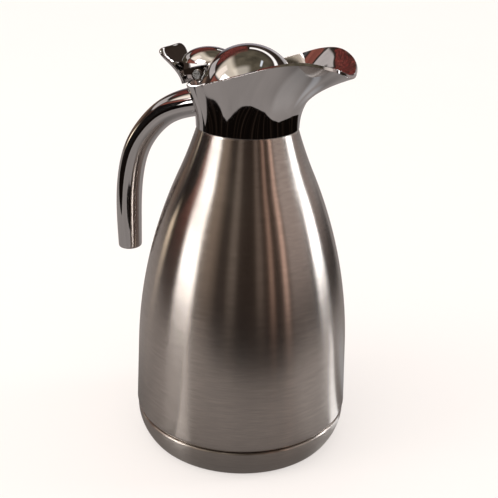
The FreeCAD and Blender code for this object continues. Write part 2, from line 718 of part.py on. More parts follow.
def collar_outside(degrees, share):
    """Point of the outer surface: a Bezier from the seam (share 0) to the rim (share 1)."""
    angle, side = fold_angle(degrees)
    turn = math.radians(angle)
    flare = math.radians(station_value(FLARE, angle))
    pull = station_value(PULL, angle)
    out_x, out_y = rim_outward(angle)
    rim_x, rim_y = rim_xy(angle)
    rim = Vector(rim_x, rim_y, station_value(RIM_Z, angle))
    seam_r = dim.collar_r.value
    seam = Vector(seam_r * math.cos(turn), seam_r * math.sin(turn), dim.seam_z.value)
    above_seam = seam + Vector(0, 0, station_value(STRAIGHT, angle))
    below_rim = rim - Vector(math.sin(flare) * out_x, math.sin(flare) * out_y,
                             math.cos(flare)) * pull
    rest = 1.0 - share
    point = (seam * rest ** 3 + above_seam * (3 * rest * rest * share)
             + below_rim * (3 * rest * share * share) + rim * share ** 3)
    return Vector(point.x, side * point.y, point.z)


def collar_point(degrees, share, inset):
    """Point of the collar surface moved inwards by inset; the foot stays at the seam."""
    angle, side = fold_angle(degrees)
    upward = (collar_outside(angle, min(share + 0.002, 1.0))
              - collar_outside(angle, max(share - 0.002, 0.0)))
    around = collar_outside(angle + 0.25, share) - collar_outside(angle - 0.25, share)
    normal = around.cross(upward)
    normal.normalize()
    point = collar_outside(angle, share) - normal * inset
    if share == 0.0:
        point.z = dim.seam_z.value
    return Vector(point.x, side * point.y, point.z)


def collar_ring(share, inset):
    return closed_wire([collar_point(360.0 * i / RING_POINTS, share, inset)
                        for i in range(RING_POINTS)])


def build_collar():
    """Two lofted skins closed by a face at the rim and one at the foot."""
    outer = [collar_ring(share, 0.0) for share in SHARES]
    inner = [collar_ring(share, dim.collar_wall.value) for share in SHARES]
    outer_skin = Part.makeLoft(outer, False, False)
    inner_skin = Part.makeLoft(inner, False, False)
    rim = Part.makeRuledSurface(outer[-1].Edges[0], inner[-1].Edges[0])
    foot = Part.makeRuledSurface(outer[0].Edges[0], inner[0].Edges[0])
    skin = Part.makeShell(outer_skin.Faces + inner_skin.Faces + [rim, foot])
    skin.sewShape()
    # sewing may change the shape's type
    solid = Part.makeSolid(skin if skin.ShapeType == "Shell" else Part.Shell(skin.Faces))
    if solid.Volume < 0:
        solid.reverse()
    return solid


# ---------------------------------------------------------------- handle screws
SCREW_HEIGHTS = (dim.screw_low_z.value, dim.screw_high_z.value)
BACKWARD = Vector(-1, 0, 0)


def countersunk(z):
    """A countersunk screw along -X with a cross recess, starting inside the collar wall."""
    x = -(dim.neck_r.value + 0.15)
    head_len = 1.5
    start = Vector(x, 0, z)
    head = Part.makeCone(dim.screw_head_r.value, dim.screw_r.value, head_len, start, BACKWARD)
    shank = Part.makeCylinder(dim.screw_r.value, dim.screw_len.value, start, BACKWARD)
    span, slot, box_len, depth = 3.0, 0.7, 0.9, 0.8
    flat = Part.makeBox(box_len, span, slot, Vector(x - depth, -span / 2, z - slot / 2))
    upright = Part.makeBox(box_len, slot, span, Vector(x - depth, -slot / 2, z - span / 2))
    return head.fuse(shank).removeSplitter().cut(flat.fuse(upright))


def build_screw_room():
    """The holes and head seats of both screws as one tool."""
    x = -(dim.neck_r.value - 1.0)
    hole_r = dim.screw_r.value + 0.05
    seat_r, seat_len = dim.screw_head_r.value + 0.9, 2.7
    room = None
    for z in SCREW_HEIGHTS:
        start = Vector(x, 0, z)
        hole = Part.makeCylinder(hole_r, dim.screw_len.value + 2.0, start, BACKWARD).fuse(
            Part.makeCone(seat_r, hole_r, seat_len, start, BACKWARD))
        room = hole if room is None else room.fuse(hole)
    return room


# ---------------------------------------------------------------- handle
# Stations down the handle's centre line: x, z, half depth, half width
HANDLE = [
    (-28.5, 235.0, 9.9, 12.6),
    (-46.0, 229.9, 9.4, 11.8),
    (-62.3, 221.8, 8.8, 10.8),
    (-75.5, 209.6, 8.5, 10.1),
    (-85.6, 194.8, 8.6, 9.8),
    (-91.5, 177.5, 8.75, 9.65),
    (-94.3, 158.0, 8.85, 9.5),
    (-94.9, 137.0, 8.7, 9.2),
    (-94.7, 116.9, 8.2, 8.7),
]
SECTION_STEPS = 14


def handle_frames():
    """(centre, direction away from the jug, half depth, half width) of each station."""
    centres = [Vector(x, 0, z) for x, z, _, _ in HANDLE]
    spine = Part.BSplineCurve()
    spine.interpolate(Points=centres)
    frames = []
    for centre, (_, _, depth, width) in zip(centres, HANDLE):
        down = Vector(*spine.tangent(spine.parameter(centre))[0])
        frames.append((centre, Vector(down.z, 0, -down.x), depth, width))
    return frames


def handle_section(frame, parting, outer, shrink=0.0):
    """The part of the oval section outside or inside the parting line."""
    centre, out, depth, width = frame
    depth, width = depth - shrink, width - shrink
    cut_angle = math.asin(parting / depth)
    first, last = (cut_angle, math.pi / 2) if outer else (-math.pi / 2, cut_angle)
    side = []
    for i in range(SECTION_STEPS + 1):
        angle = first + (last - first) * i / SECTION_STEPS
        side.append((width * math.cos(angle), depth * math.sin(angle)))
    mirrored = [(-y, away) for y, away in reversed(side)]
    oval = side + mirrored[1:] if outer else mirrored + side[1:]
    points = [centre + Y_AXIS * y + out * away for y, away in oval]
    curve = Part.BSplineCurve()
    curve.interpolate(Points=points)
    return Part.Wire([curve.toShape(), Part.makeLine(points[-1], points[0])])


def largest_solid(shape):
    return max(shape.Solids, key=lambda solid: solid.Volume)


def make_handle(collar, screw_room):
    """A hollow outer shell and a solid cover on the side towards the jug."""
    frames = handle_frames()
    parting = -dim.handle_split.value
    overlap = 0.5           # the hollow reaches this far past the parting face
    outer = Part.makeLoft([handle_section(frame, parting, True) for frame in frames],
                          True, False)
    inner = Part.makeLoft([handle_section(frame, parting, False) for frame in frames],
                          True, False)
    hollow = Part.makeLoft([handle_section(frame, parting - overlap, True,
                                           dim.handle_wall.value)
                            for frame in frames[2:-1]], True, False)
    inside_collar = Part.makeCylinder(dim.neck_r.value + 1.2, 60.0, Vector(0, 0, 205))
    outer = outer.cut(collar).cut(inside_collar).cut(hollow).cut(screw_room)
    for tool in (inside_collar, collar, screw_room):
        # cut only where the tool really meets the cover
        if inner.common(tool).Volume > 0.01:
            inner = inner.cut(tool)
    shape_piece("handle_outer_shell", largest_solid(outer))
    shape_piece("handle_inner_cover", largest_solid(inner))


# ---------------------------------------------------------------- lid cover
# Outline (x, z) of the opening across the hump; its roof stays above the upper edge
HUMP_OPENING = [
    (-60, 258.5), (-43.0, 258.7), (-38.7, 259.0), (-30.5, 259.9), (-25.0, 261.2),
    (-22.4, 260.4), (-21.4, 256.4), (-24.6, 246.4), (-25, 238), (-60, 238),
]


def primitive(kind, name, at, rotation=Rotation(), **sizes):
    """A Part primitive whose sizes and position are bound to the sheet."""
    obj = doc.addObject(kind, name)
    for prop, size in sizes.items():
        size = Size.of(size)
        setattr(obj, prop, size.value)
        obj.setExpression(prop, size.expr)
    at = [Size.of(number) for number in at]
    obj.Placement = Placement(Vector(*[size.value for size in at]), rotation)
    for axis, size in zip("xyz", at):
        obj.setExpression("Placement.Base." + axis, size.expr)
    return obj


def cut_object(name, base, tool):
    obj = doc.addObject("Part::Cut", name)
    obj.Base, obj.Tool = base, tool
    return obj


def joined(kind, name, shapes):
    obj = doc.addObject(kind, name)
    obj.Shapes = shapes
    return obj


def dome_sphere(name, inset=0.0):
    return primitive("Part::Sphere", name, (0, 0, dim.dome_z), Radius=dim.dome_r - inset)


def hump_ellipsoid(name, inset=0.0):
    return primitive("Part::Ellipsoid", name, (-dim.hump_x, 0, dim.hump_z),
                     Radius1=dim.hump_hgt - inset, Radius2=dim.hump_len - inset,
                     Radius3=dim.hump_wid - inset)


def build_hump():
    """The hump's roof, kept clear of the dome's inside."""
    outside = hump_ellipsoid("hump_outside")
    inside = hump_ellipsoid("hump_inside", dim.hump_wall)
    shell = cut_object("hump_shell", outside, inside)
    opening = doc.addObject("Part::Feature", "hump_side_opening")
    opening.Shape = plate(HUMP_OPENING, 20)
    roof = cut_object("hump_roof", shell, opening)
    return cut_object("hump_clear_of_dome", roof, dome_sphere("dome_inside", dim.dome_wall))


def build_dome():
    """The dome above the stopper cap with the lever's slot at the back."""
    inside = dome_sphere("dome_inside_2", dim.dome_wall)
    shell = cut_object("dome_shell", dome_sphere("dome_outside"), inside)
    low_z = 200
    below = primitive("Part::Box", "below_dome", (-40, -40, low_z),
                      Length=80, Width=80, Height=dim.cap_low_z - low_z)
    above_cap = cut_object("dome_above_cap", shell, below)
    slot_half = dim.ear_in - 0.2
    slot = primitive("Part::Box", "lever_slot",
                     (-dim.pivot_x - 6.0, -slot_half, dim.pivot_z - 5.0),
                     Length=17.0, Width=slot_half * 2, Height=11.0)
    return cut_object("dome_slotted", above_cap, slot)


def build_ears():
    """A disc and a web on each side; far is at +Y, near at -Y."""
    ears = []
    for name, y in (("far", dim.ear_in), ("near", -(dim.ear_in + dim.ear_thick))):
        ears.append(primitive("Part::Cylinder", "ear_disc_" + name,
                              (-dim.pivot_x, y, dim.pivot_z), ALONG_Y,
                              Radius=dim.ear_r, Height=dim.ear_thick))
        ears.append(primitive("Part::Box", "ear_web_" + name,
                              (-dim.pivot_x, y, dim.pivot_z - 3.6),
                              Length=6.0, Width=dim.ear_thick, Height=7.2))
    return ears


def build_bosses():
    """Four screw bosses that end inside the dome's wall."""
    bosses = [primitive("Part::Cylinder", "dome_boss_%d" % angle, (x, y, dim.cap_top_z),
                        Radius=dim.dome_boss_r, Height=8.0)
              for angle, x, y in dome_screw_spots()]
    trim = dome_sphere("boss_trim", dim.dome_wall * 0.5)
    return joined("Part::MultiCommon", "boss_trimmed",
                  [joined("Part::MultiFuse", "boss_set", bosses), trim])


def build_rib():
    """A rib along the middle of the hump's roof."""
    block = primitive("Part::Box", "hump_rib_block", (-42.0, -1.6, dim.pivot_z + 5.2),
                      Length=21.0, Width=3.2, Height=12.0)
    return joined("Part::MultiCommon", "hump_rib",
                  [block, hump_ellipsoid("hump_outside_2", 0.5)])


def build_cover_holes():
    """The pin's hole and the pilot holes of the dome screws."""
    holes = [primitive("Part::Cylinder", "pin_hole", (-dim.pivot_x, -15, dim.pivot_z), ALONG_Y,
                       Radius=dim.pin_r + GAP, Height=30)]
    for angle, x, y in dome_screw_spots():
        holes.append(primitive("Part::Cylinder", "dome_pilot_%d" % angle,
                               (x, y, dim.cap_top_z - 1.0),
                               Radius=dim.dome_screw_r, Height=6.0))
    return joined("Part::MultiFuse", "cover_holes", holes)


def make_lid_cover():
    hump = build_hump()
    dome = build_dome()
    solid = joined("Part::MultiFuse", "cover_fuse",
                   [dome, hump, build_rib(), build_bosses()] + build_ears())
    keep(cut_object("lid_cover", solid, build_cover_holes()), "lid_cover")
    doc.recompute()


def make_dome_screws():
    """Pan-head screws with a cross recess, pointing up from under the stopper cap."""
    shank_len, head_r, head_len = 7.0, 2.0, 1.5
    span, slot, depth = 2.4, 0.6, 0.8
    z = dim.cap_low_z.value
    head_z = z - head_len
    screws = []
    for _, x, y in dome_screw_spots():
        x, y = x.value, y.value
        shank = Part.makeCylinder(dim.dome_screw_r.value, shank_len, Vector(x, y, z))
        head = Part.makeCylinder(head_r, head_len, Vector(x, y, head_z))
        cross = Part.makeBox(span, slot, depth, Vector(x - span / 2, y - slot / 2, head_z)).fuse(
            Part.makeBox(slot, span, depth, Vector(x - slot / 2, y - span / 2, head_z)))
        screws.append(head.fuse(shank).removeSplitter().cut(cross))
    shape_piece("dome_screws", Part.makeCompound(screws))


# ---------------------------------------------------------------- pin, clip and lever spring
PIVOT_X, PIVOT_Z = -dim.pivot_x.value, dim.pivot_z.value
PIN_GROOVE_R = 1.2
PIN_GROOVE = (11.6, 12.3)   # the groove's sides along Y


def move_to_pivot(body):
    body.Placement = Placement(Vector(PIVOT_X, 0, PIVOT_Z), Rotation())
    body.setExpression("Placement.Base.x", "-Dims.pivot_x")
    body.setExpression("Placement.Base.z", "Dims.pivot_z")


def make_pin():
    """A pin along Y with its head at -Y and the clip's groove at +Y."""
    head_r, head_y, head_face_y, end_y = 2.8, -12.7, -11.35, 12.9
    groove_y0, groove_y1 = PIN_GROOVE
    body = new_body("lever_pin")
    sk = loop_sketch(body, "pin_profile", "XY_Plane", [([
        (0, head_y), (head_r, head_y), (head_r, head_face_y), (dim.pin_r, head_face_y),
        (dim.pin_r, groove_y0), (PIN_GROOVE_R, groove_y0),
        (PIN_GROOVE_R, groove_y1), (dim.pin_r, groove_y1),
        (dim.pin_r, end_y), (0, end_y)], {})])
    revolve(body, sk, "pin_turned")
    move_to_pivot(body)


def rectangle(x0, x1, y0, y1):
    return [([(x0, y0), (x1, y0), (x1, y1), (x0, y1)], {})]


def make_clip():
    """A flat ring in the pin's groove, with a mouth towards the spout."""
    outer_r, mouth = 2.7, 1.8
    body = new_body("pin_clip")
    ring = rectangle(PIN_GROOVE_R, outer_r, PIN_GROOVE[0] + GAP, PIN_GROOVE[1] - GAP)
    sk = loop_sketch(body, "clip_profile", "XY_Plane", ring)
    revolve(body, sk, "clip_turned")
    sk = loop_sketch(body, "clip_mouth", "XY_Plane", rectangle(0.4, 3.5, 11.0, 13.0))
    cut = body.newObject("PartDesign::Pocket", "clip_mouth_cut")
    cut.Profile = sk
    cut.Midplane = True
    cut.Length = mouth
    sk.Visibility = False
    move_to_pivot(body)
    doc.recompute()


def make_lever_spring():
    """Close coil about the pivot with two straight legs, swept as one length of wire."""
    mean_r, wire_r, turns, leg = 2.95, 0.32, 2.25, 5.2
    low_y, high_y = 5.3, 7.9
    rise = (high_y - low_y) - 2 * wire_r
    first = math.radians(200.0)
    last = first + 2 * math.pi * turns
    steps = int(turns * 16)
    coil = []
    for k in range(steps + 1):
        angle = first + (last - first) * k / steps
        coil.append(Vector(mean_r * math.cos(angle), -(rise * k / steps),
                           mean_r * math.sin(angle)))
    start_way = Vector(-math.sin(first), 0, math.cos(first))
    end_way = Vector(-math.sin(last), 0, math.cos(last))
    lead_in = [coil[0] - start_way * leg * share for share in (1.0, 0.66, 0.33)]
    lead_out = [coil[-1] + end_way * leg * share for share in (0.33, 0.66, 1.0)]
    path = lead_in + coil + lead_out
    curve = Part.BSplineCurve()
    curve.interpolate(Points=path, InitialTangent=start_way, FinalTangent=end_way)
    section = Part.Wire([Part.makeCircle(wire_r, path[0], start_way)])
    wire = Part.Wire([curve.toShape()]).makePipeShell([section], True, False)
    spring = shape_piece("lever_spring", wire)
    spring.Placement = Placement(Vector(PIVOT_X, high_y - wire_r, PIVOT_Z), Rotation())


# ---------------------------------------------------------------- thumb lever
# Stations up the thumb tab: x, z, half width
TAB = [
    (-45.4, 243.9, 5.4), (-46.9, 248.6, 6.5), (-49.8, 253.6, 8.7), (-53.3, 258.4, 11.9),
    (-56.4, 262.0, 14.0), (-58.3, 264.1, 13.5), (-59.5, 265.4, 10.6),
]
TAB_POINTS = 28
ARM_HALF = 4.7              # half width of the arms behind the fork
# Outline (x, z) of the arm from the barrel back to the tab
REAR_ARM = [
    (-46.9, 249.6), (-38.0, 250.5), (PIVOT_X - 1.0, 250.6),
    (PIVOT_X - 1.0, 256.2), (-38.0, 255.2), (-47.6, 252.2),
]


def squared(number):
    """Swells a sine or cosine, so the oval becomes slightly squarer."""
    return math.copysign(abs(number) ** 0.8, number)


def tab_section(i):
    """A dished oval square to the tab's centre line; the last one is thinner."""
    x, z, half = TAB[i]
    below, above = TAB[max(i - 1, 0)], TAB[min(i + 1, len(TAB) - 1)]
    along = Vector(above[0] - below[0], 0, above[1] - below[1])
    along.normalize()
    front = Vector(along.z, 0, -along.x)
    thick = dim.tab_thick.value / 2 * (1.0 if i < len(TAB) - 1 else 0.7)
    dish = 0.10 * half
    points = []
    for k in range(TAB_POINTS):
        angle = 2 * math.pi * k / TAB_POINTS
        y = half * squared(math.cos(angle))
        forward = thick * squared(math.sin(angle)) + dish * (y / half) ** 2
        points.append(Vector(x, y, z) + front * (forward - dish * 0.4))
    return closed_wire(points)


def arm_bar(x0, x1, half):
    low_z, top_z = dim.arm_low_z.value, dim.arm_top_z.value
    return plate([(x0, low_z), (x1, low_z), (x1, top_z), (x0, top_z)], half)


def make_lever():
    tab = Part.makeLoft([tab_section(i) for i in range(len(TAB))], True, False)
    fork_half, gap_half = dim.arm_half.value, dim.fork_gap.value
    rear_arm = plate(REAR_ARM, ARM_HALF)
    front_arm = arm_bar(PIVOT_X, 2.2, ARM_HALF)
    fork = arm_bar(-22.0, 1.5, fork_half)
    fork_gap = Part.makeBox(20.0, 2 * gap_half, 12.0, Vector(-6.0, -gap_half, 246.0))
    pads = cross_bar(dim.pad_r.value, fork_half, 0, PIVOT_Z)
    barrel = cross_bar(dim.lever_barrel_r.value, dim.lever_barrel_w.value / 2,
                       PIVOT_X, PIVOT_Z)
    hub = cross_bar(dim.lever_hub_r.value, dim.lever_hub_w.value / 2, PIVOT_X, PIVOT_Z)
    bore = cross_bar(dim.pin_bore.value, 20, PIVOT_X, PIVOT_Z)
    lever = barrel.fuse([hub, rear_arm, front_arm, fork, pads]).cut(fork_gap).cut(bore)
    lever = lever.fuse(tab).removeSplitter()
    # a single solid is taken out of its compound
    shape_piece("thumb_lever", lever.Solids[0] if len(lever.Solids) == 1 else lever)


# ---------------------------------------------------------------- check and write
def export_pieces():
    bad = [obj.Name for obj in doc.Objects if "Invalid" in obj.State or "Error" in obj.State]
    for obj in PIECES:
        shape = obj.Shape
        if shape.isNull() or not shape.isValid() or not shape.Solids or shape.Volume <= 0:
            bad.append(obj.Label)
    if bad:
        raise RuntimeError("not valid: " + ", ".join(bad))
    os.makedirs("parts", exist_ok=True)
    for obj in PIECES:
        obj.Shape.exportStep(os.path.join("parts", obj.Label + ".step"))


make_outer_shell()
make_inner_flask()
make_vacuum_base()
make_getter()
make_base_cup()
make_neck_gasket()
make_sleeve()
make_stopper_body()
make_stopper_gasket()
make_stopper_cap()
make_stem_seal()
make_spring_washer()
make_valve_stem()
make_valve_disc()
make_valve_gasket()
make_stem_nut()
make_valve_spring()

collar_solid = build_collar()
room_for_screws = build_screw_room()
shape_piece("spout_collar", collar_solid.cut(room_for_screws))
shape_piece("handle_screws", Part.makeCompound([countersunk(z) for z in SCREW_HEIGHTS]))
make_handle(collar_solid, room_for_screws)

make_lid_cover()
make_dome_screws()
make_pin()
make_clip()
make_lever_spring()
make_lever()
doc.recompute()
export_pieces()
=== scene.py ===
# A vacuum jug in brushed steel and chrome, with a pouring collar, a two-part handle and a lid.
# It stands on z = 0 with its axis on Z, the spout toward +X and the handle toward -X.
# Pieces are drawn in millimetres; the stage, lights and camera are in metres.
import bpy
import bmesh
import math
from mathutils import Matrix, Vector

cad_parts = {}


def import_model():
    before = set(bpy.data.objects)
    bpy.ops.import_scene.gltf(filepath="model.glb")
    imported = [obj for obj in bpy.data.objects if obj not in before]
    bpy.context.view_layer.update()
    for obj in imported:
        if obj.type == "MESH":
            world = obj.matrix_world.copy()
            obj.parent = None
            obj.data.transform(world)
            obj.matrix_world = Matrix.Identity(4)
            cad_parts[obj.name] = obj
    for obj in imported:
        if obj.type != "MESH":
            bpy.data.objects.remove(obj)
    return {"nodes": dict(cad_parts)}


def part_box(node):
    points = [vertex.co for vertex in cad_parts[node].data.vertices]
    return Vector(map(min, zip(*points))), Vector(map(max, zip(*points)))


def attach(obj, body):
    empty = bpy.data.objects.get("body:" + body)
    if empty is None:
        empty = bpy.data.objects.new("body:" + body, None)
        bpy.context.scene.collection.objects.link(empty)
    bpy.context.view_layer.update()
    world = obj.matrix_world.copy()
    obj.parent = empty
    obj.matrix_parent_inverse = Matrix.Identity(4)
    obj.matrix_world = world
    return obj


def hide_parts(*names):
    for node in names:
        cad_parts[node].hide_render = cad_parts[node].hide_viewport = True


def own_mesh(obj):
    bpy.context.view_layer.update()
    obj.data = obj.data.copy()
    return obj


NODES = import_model()["nodes"]
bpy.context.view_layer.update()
MM = 0.001
DEGREES = 180.0 / math.pi


# ------------------------------------------------------------------ node helpers
class Signal:
    """A number in a node tree; arithmetic on it adds Math nodes."""

    def __init__(self, net, socket):
        self.net = net
        self.socket = socket

    def __add__(self, other):
        return self.net.math("ADD", self, other)

    def __radd__(self, other):
        return self.net.math("ADD", other, self)

    def __sub__(self, other):
        return self.net.math("SUBTRACT", self, other)

    def __rsub__(self, other):
        return self.net.math("SUBTRACT", other, self)

    def __mul__(self, other):
        return self.net.math("MULTIPLY", self, other)

    def __truediv__(self, other):
        return self.net.math("DIVIDE", self, other)

    def __abs__(self):
        return self.net.math("ABSOLUTE", self)

    def remap(self, span, to, smooth=False):
        """Map one span of values to another, clamped at its ends."""
        inputs = {"Value": self, "From Min": span[0], "From Max": span[1],
                  "To Min": to[0], "To Max": to[1]}
        made = self.net.node("ShaderNodeMapRange", inputs,
                             interpolation_type="SMOOTHSTEP" if smooth else "LINEAR")
        return Signal(self.net, made.outputs["Result"])

    def rise(self, start, end):
        """Smooth step from 0 at start to 1 at end."""
        return self.remap((start, end), to=(0.0, 1.0), smooth=True)

    def fall(self, start, end):
        """Smooth step from 1 at start to 0 at end."""
        return self.remap((start, end), to=(1.0, 0.0), smooth=True)

    def band(self, centre, half, soft):
        """1 within half of the centre, with edges blurred by soft either way."""
        return abs(self - centre).fall(half - soft, half + soft)


class Net:
    """Short calls for building a material or world node tree."""

    def __init__(self, tree):
        self.tree = tree

    def put(self, socket, value):
        if isinstance(value, Signal):
            value = value.socket
        if isinstance(value, bpy.types.NodeSocket):
            self.tree.links.new(value, socket)
            return
        if isinstance(value, tuple) and len(value) == 3 and socket.type == "RGBA":
            value += (1.0,)
        socket.default_value = value

    def fill(self, node, inputs):
        for key, value in inputs.items():
            if value is not None:
                self.put(node.inputs[key], value)

    def node(self, kind, inputs=None, **props):
        made = self.tree.nodes.new(kind)
        for key, value in props.items():
            setattr(made, key, value)
        self.fill(made, inputs or {})
        return made

    def math(self, operation, first, second=None, clamp=False):
        made = self.node("ShaderNodeMath", {0: first, 1: second},
                         operation=operation, use_clamp=clamp)
        return Signal(self, made.outputs[0])

    def vector(self, operation, first, second=None, scale=None):
        return self.node("ShaderNodeVectorMath", {0: first, 1: second, "Scale": scale},
                         operation=operation).outputs["Vector"]

    def scale(self, colour, factor):
        return self.vector("SCALE", colour, scale=factor)

    def total(self, colours):
        result = colours[0]
        for colour in colours[1:]:
            result = self.vector("ADD", result, colour)
        return result

    def length(self, vector):
        made = self.node("ShaderNodeVectorMath", {0: vector}, operation="LENGTH")
        return Signal(self, made.outputs["Value"])

    def split(self, vector):
        made = self.node("ShaderNodeSeparateXYZ", {0: vector})
        return [Signal(self, socket) for socket in made.outputs]

    def join(self, x, y, z):
        return self.node("ShaderNodeCombineXYZ", {0: x, 1: y, 2: z}).outputs[0]

    def noise(self, vector, scale, detail=3.0, rough=0.55, distort=0.0):
        made = self.node("ShaderNodeTexNoise", {
            "Vector": vector, "Scale": scale, "Detail": detail,
            "Roughness": rough, "Distortion": distort})
        return Signal(self, made.outputs["Fac"])

    def stretched(self, xyz, across, along, detail, rough):
        """Noise with its own frequency across the Z axis and along it."""
        x, y, z = xyz
        place = self.join(x * across, y * across, z * along)
        return self.noise(place, scale=1.0, detail=detail, rough=rough)

    def mix(self, factor, first, second):
        return self.node("ShaderNodeMix", {"Factor": factor, 6: first, 7: second},
                         data_type="RGBA").outputs[2]

    def bump(self, height, strength, distance):
        return self.node("ShaderNodeBump", {"Strength": strength, "Distance": distance,
                                            "Height": height}).outputs["Normal"]

    def surface(self, socket):
        """Link a shader to the material's output."""
        output = next(n for n in self.tree.nodes if n.type == "OUTPUT_MATERIAL")
        self.put(output.inputs["Surface"], socket)


def material(name):
    made = bpy.data.materials.new(name)
    made.use_nodes = True
    net = Net(made.node_tree)
    shader = next(n for n in made.node_tree.nodes if n.type == "BSDF_PRINCIPLED")
    return made, net, shader, net.node("ShaderNodeTexCoord").outputs["Object"]


def bare_material(name):
    """A material without its principled shader."""
    made, net, shader, coord = material(name)
    net.tree.nodes.remove(shader)
    return made, net, coord


# ------------------------------------------------------------------ materials
def brushed_round(name, tint, rough, aniso, fine, coarse, contrast=1.0):
    """Stainless steel brushed round the jug's axis: arcs of grain, smudges, sparse scratches."""
    made, net, shader, coord = material(name)
    x, y, z = net.split(coord)
    around_x, around_y, _ = net.split(net.vector("NORMALIZE", net.join(x, y, 0.0)))
    around = (around_x, around_y, z)
    grain = net.stretched(around, across=6.0, along=fine, detail=2.0, rough=0.65)
    bands = net.stretched(around, across=2.2, along=coarse, detail=3.0, rough=0.55)
    smudge = net.noise(coord, scale=14.0, detail=4.0, rough=0.6, distort=0.4)
    scratch = net.stretched(around, across=14.0, along=fine * 0.35, detail=1.0, rough=0.5)
    scratch = scratch.rise(0.70, 0.80)
    tone = ((grain - 0.5) * (0.34 * contrast) + (bands - 0.5) * (0.10 * contrast)
            + (smudge - 0.5) * 0.07 + scratch * (0.05 * contrast) + 1.0)
    net.fill(shader, {
        "Base Color": net.scale(tint, tone),
        "Roughness": rough + (bands - 0.5) * 0.03 + (smudge - 0.5) * 0.05 - scratch * 0.012,
        "Metallic": 1.0,
        "Anisotropic": aniso,
        "Anisotropic Rotation": 0.25,
        "Tangent": net.node("ShaderNodeTangent", direction_type="RADIAL", axis="Z").outputs[0],
        "Normal": net.bump(grain, strength=0.10, distance=0.00003)})
    return made


def mirror(name, tint, rough=0.035, wave=0.12):
    """Bright chrome: a slight flow in the surface, polishing haze, wiping marks and dust."""
    made, net, shader, coord = material(name)
    haze = net.noise(coord, scale=38.0, detail=4.0, rough=0.6, distort=0.3)
    flow = net.noise(coord, scale=30.0, detail=1.5, rough=0.4)
    wipe = net.stretched(net.split(coord), across=60.0, along=900.0, detail=3.0, rough=0.6)
    dust = net.noise(coord, scale=2600.0, detail=2.0, rough=0.5).rise(0.66, 0.74)
    clean_rough = rough + haze.rise(0.42, 0.72) * 0.045 + (wipe - 0.5) * 0.03
    net.fill(shader, {
        "Roughness": net.math("ADD", clean_rough, dust * 0.10, clamp=True),
        "Base Color": net.scale(tint, 1.0 + (haze - 0.5) * 0.09 - dust * 0.06),
        "Metallic": 1.0,
        "Normal": net.bump(flow, strength=wave, distance=0.0006)})
    return made


def machined(name, tint, rough, lines=2600.0):
    """Small turned or drawn steel parts: fine turning lines and a little warm tarnish."""
    made, net, shader, coord = material(name)
    line = net.stretched(net.split(coord), across=300.0, along=lines, detail=2.0, rough=0.6)
    tarnish = net.noise(coord, scale=160.0, detail=4.0, rough=0.65)
    tarnished = (tint[0] * 0.86, tint[1] * 0.78, tint[2] * 0.66)
    warm = net.mix(tarnish.remap((0.45, 0.75), to=(0.0, 0.35)), tint, tarnished)
    net.fill(shader, {
        "Base Color": net.scale(warm, 0.92 + tarnish * 0.16),
        "Roughness": rough + line * 0.14,
        "Metallic": 1.0,
        "Normal": net.bump(line, strength=0.15, distance=0.00003)})
    return made


def moulded(name, tint, rough):
    """Moulded black polypropylene: fine spark texture, shinier where it has been rubbed."""
    made, net, shader, coord = material(name)
    spark = net.noise(coord, scale=1500.0, detail=3.0, rough=0.6)
    rub = net.noise(coord, scale=42.0, detail=4.0, rough=0.6)
    flow = net.noise(coord, scale=90.0, detail=2.0, rough=0.5)
    rubbed = rub.remap((0.35, 0.7), to=(rough - 0.12, rough + 0.08))
    net.fill(shader, {
        "Base Color": net.scale(tint, 0.8 + flow * 0.45),
        "Roughness": rubbed + spark * 0.05,
        "Specular IOR Level": 0.45,
        "Normal": net.bump(spark, strength=0.35, distance=0.00005)})
    return made


def silicone(name, tint):
    """Translucent food-grade silicone with a bloom of dust and moulding flow."""
    made, net, shader, coord = material(name)
    flow = net.noise(coord, scale=120.0, detail=3.0, rough=0.55)
    bloom = net.noise(coord, scale=700.0, detail=3.0, rough=0.6)
    net.fill(shader, {
        "Base Color": net.scale(tint, 0.9 + flow * 0.18),
        "Roughness": bloom.remap((0.3, 0.7), to=(0.42, 0.62)),
        "Subsurface Weight": 0.35,
        "Subsurface Radius": (0.004, 0.0035, 0.003),
        "Sheen Weight": 0.15,
        "Normal": net.bump(bloom, strength=0.12, distance=0.00006)})
    return made


def solder(name):
    """Dark, glossy fused seal with clouded colour."""
    made, net, shader, coord = material(name)
    cloud = net.noise(coord, scale=500.0, detail=4.0, rough=0.6)
    net.fill(shader, {
        "Base Color": net.mix(cloud.remap((0.35, 0.7), to=(0.0, 1.0)),
                              (0.10, 0.07, 0.045), (0.24, 0.19, 0.13)),
        "Roughness": cloud.remap((0.3, 0.7), to=(0.08, 0.22)),
        "Coat Weight": 0.6,
        "Coat Roughness": 0.05,
        "Normal": net.bump(cloud, strength=0.2, distance=0.0001)})
    return made


def sintered(name):
    """Rough, grainy grey metal."""
    made, net, shader, coord = material(name)
    grain = net.noise(coord, scale=2200.0, detail=4.0, rough=0.7)
    patch = net.noise(coord, scale=140.0, detail=3.0, rough=0.6)
    net.fill(shader, {
        "Base Color": net.mix(patch.remap((0.35, 0.7), to=(0.0, 1.0)),
                              (0.20, 0.19, 0.18), (0.36, 0.34, 0.32)),
        "Roughness": grain.remap((0.3, 0.7), to=(0.6, 0.85)),
        "Metallic": 0.6,
        "Normal": net.bump(grain, strength=0.6, distance=0.0001)})
    return made


